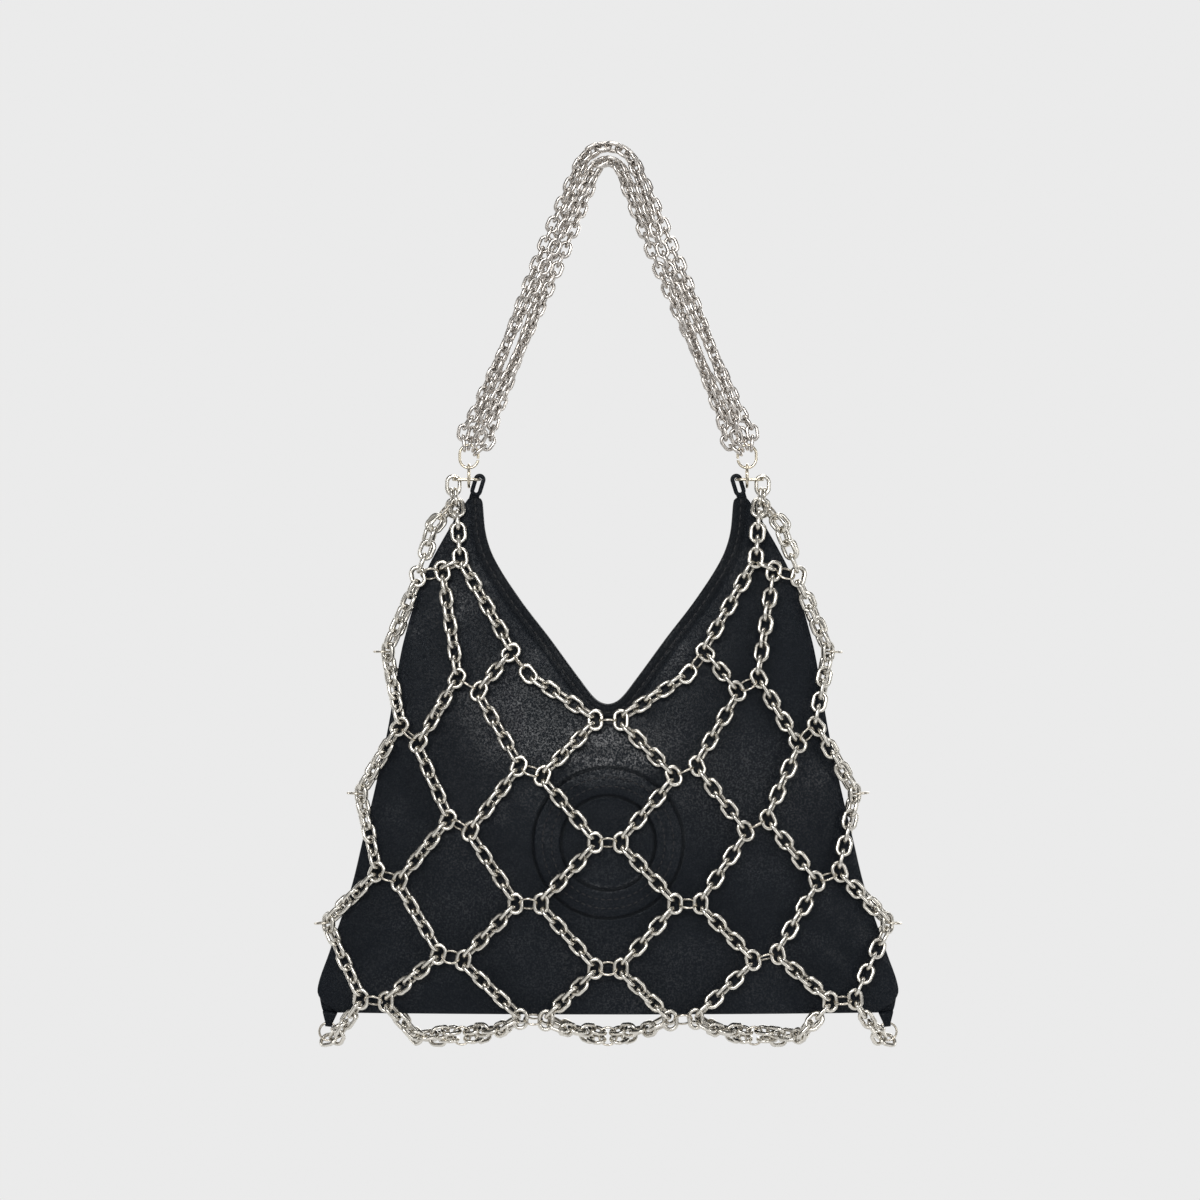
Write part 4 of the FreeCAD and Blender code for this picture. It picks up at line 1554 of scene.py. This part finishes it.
@dataclass
class Studio:
    """Floor, light and camera; each table of tones runs along a direction from -1 to 1."""

    floor_z: float = -640.0 * MM
    floor_reach: float = 1.35
    field_of_view: float = 540.0 * MM
    aim: Triple = (-3.6 * MM, -12.0 * MM, -194.9 * MM)
    distance: float = 2.6
    light: Pairs = ((-1.0, 0.10), (-0.2, 0.22), (0.2, 0.36), (1.0, 0.50))
    depth_tones: Pairs = (
        (-1.0, 0.42), (-0.75, 0.42), (-0.35, 0.14), (0.4, 0.16), (0.8, 0.80), (0.9, 0.83))
    height_tones: Pairs = (
        (-1.0, 0.25), (-0.6, 0.40), (-0.2, 1.0), (0.25, 1.0), (0.6, 0.6), (1.0, 0.9))
    boxes: tuple[tuple[str, Triple, Pair, float], ...] = (
        ("key_box", (-0.25, -1.7, 0.44), (1.0, 0.3), 12.0),
        ("fill_box", (1.3, -1.3, 0.15), (0.5, 1.0), 4.5),
        ("top_box", (0.1, -0.15, 1.25), (1.0, 0.6), 6.0),
        ("left_strip", (-1.3, 0.35, -0.1), (0.25, 1.4), 3.0),
        ("right_strip", (1.3, 0.55, -0.1), (0.25, 1.4), 3.0),
        ("back_box", (0.3, 1.7, 0.5), (1.0, 1.0), 7.0))

    def build(self) -> None:
        """Builds the studio."""
        self.floor()
        self.world()
        self.lamps()
        self.camera()

    def floor(self) -> None:
        """A round pale floor, well below the hanging bag."""
        around = 64
        turns = [2 * math.pi * k / around for k in range(around)]
        rim = [(self.floor_reach * math.cos(turn), self.floor_reach * math.sin(turn),
                self.floor_z) for turn in turns]
        points = np.array([(0.0, 0.0, self.floor_z)] + rim)
        faces = [(0, k + 1, (k + 1) % around + 1) for k in range(around)]
        paper = FloorFinish("floor_paper").material()
        obj = new_object("floor", solid_mesh("floor", points, faces), paper)

    def world(self) -> None:
        """A pale studio, with darker flanks, floor and ceiling, and a soft light."""
        world = bpy.data.worlds.new("studio")
        bpy.context.scene.world = world
        world.use_nodes = True
        net = NodeTree(world.node_tree)

        def greys(value: Socket, stops: Pairs) -> Socket:
            """Greys along a value from -1 to 1."""
            share = net.math("MULTIPLY_ADD", value, 0.5, 0.5)
            node = net.add("ShaderNodeValToRGB", None, {0: share})
            elements = node.color_ramp.elements
            while len(elements) < len(stops):
                elements.new(0.5)
            for element, (at, grey) in zip(elements, stops):
                element.position = (at + 1) / 2
                element.color = (grey, grey, grey, 1.0)
            return node.outputs[0]

        place = net.add("ShaderNodeTexCoord").outputs["Generated"]
        _, y, z = net.add("ShaderNodeSeparateXYZ", None, {0: place}).outputs
        pale = net.math("MULTIPLY", greys(y, self.depth_tones), greys(z, self.height_tones))
        soft, shown = [net.add("ShaderNodeBackground", None, {0: tone}).outputs[0]
                       for tone in (greys(z, self.light), pale)]
        ray = net.add("ShaderNodeLightPath").outputs
        seen = net.math("MAXIMUM", ray["Is Camera Ray"], ray["Is Glossy Ray"])
        seen = net.math("MAXIMUM", seen, ray["Is Transmission Ray"])
        choose = net.add("ShaderNodeMixShader", None, {0: seen, 1: soft, 2: shown})
        net.add("ShaderNodeOutputWorld", None, {0: choose.outputs[0]})

    def lamps(self) -> None:
        """Soft boxes round the bag."""
        centre = Vector(self.aim)
        for name, place, size, watts in self.boxes:
            lamp = bpy.data.lights.new(name, "AREA")
            lamp.shape = "RECTANGLE"
            lamp.size, lamp.size_y = size
            lamp.energy = watts
            obj = bpy.data.objects.new(name, lamp)
            obj.location = centre + Vector(place)
            obj.rotation_euler = (centre - obj.location).to_track_quat("-Z", "Y").to_euler()
            bpy.context.scene.collection.objects.link(obj)

    def camera(self) -> None:
        """A long lens level with the middle of the bag."""
        cam = bpy.data.cameras.new("camera")
        cam.sensor_width = 36.0
        cam.lens = cam.sensor_width * self.distance / self.field_of_view
        cam.clip_end = 50.0
        obj = bpy.data.objects.new("camera", cam)
        obj.location = Vector(self.aim) - Vector((0, self.distance, 0))
        obj.rotation_euler = (math.radians(90), 0, 0)
        bpy.context.scene.collection.objects.link(obj)
        bpy.context.scene.camera = obj


def main() -> None:
    """Builds the bag and the studio in order."""
    logging.basicConfig(level=logging.INFO, format="%(name)s %(message)s")
    bpy.context.scene.view_settings.view_transform = "Standard"
    finishes = Finishes()
    Pouch(PouchShape(), finishes).build()
    for hand in Hand:
        StrapLoop(hand.word + "_peak_loop", hand.word + "_peak_strap", strap=1.9 * MM,
                  across=(0, 1, 0), tongue=-6.0 * MM, tongue_thick=4.4 * MM,
                  flare=1.3 * MM, taper=0.0, finishes=finishes).build()
        StrapLoop(hand.word + "_corner_tab", hand.word + "_corner_strap", strap=0.8 * MM,
                  across=(1, 0, 0.1 * hand.value), tongue=6.0 * MM, tongue_thick=0.5 * MM,
                  flare=5.4 * MM, taper=1.1, finishes=finishes).build()
    ChainNet(finishes).build()
    ChainHandle(finishes).build()
    Hardware(finishes).build()
    Studio().build()


if __name__ == "__main__":
    main()
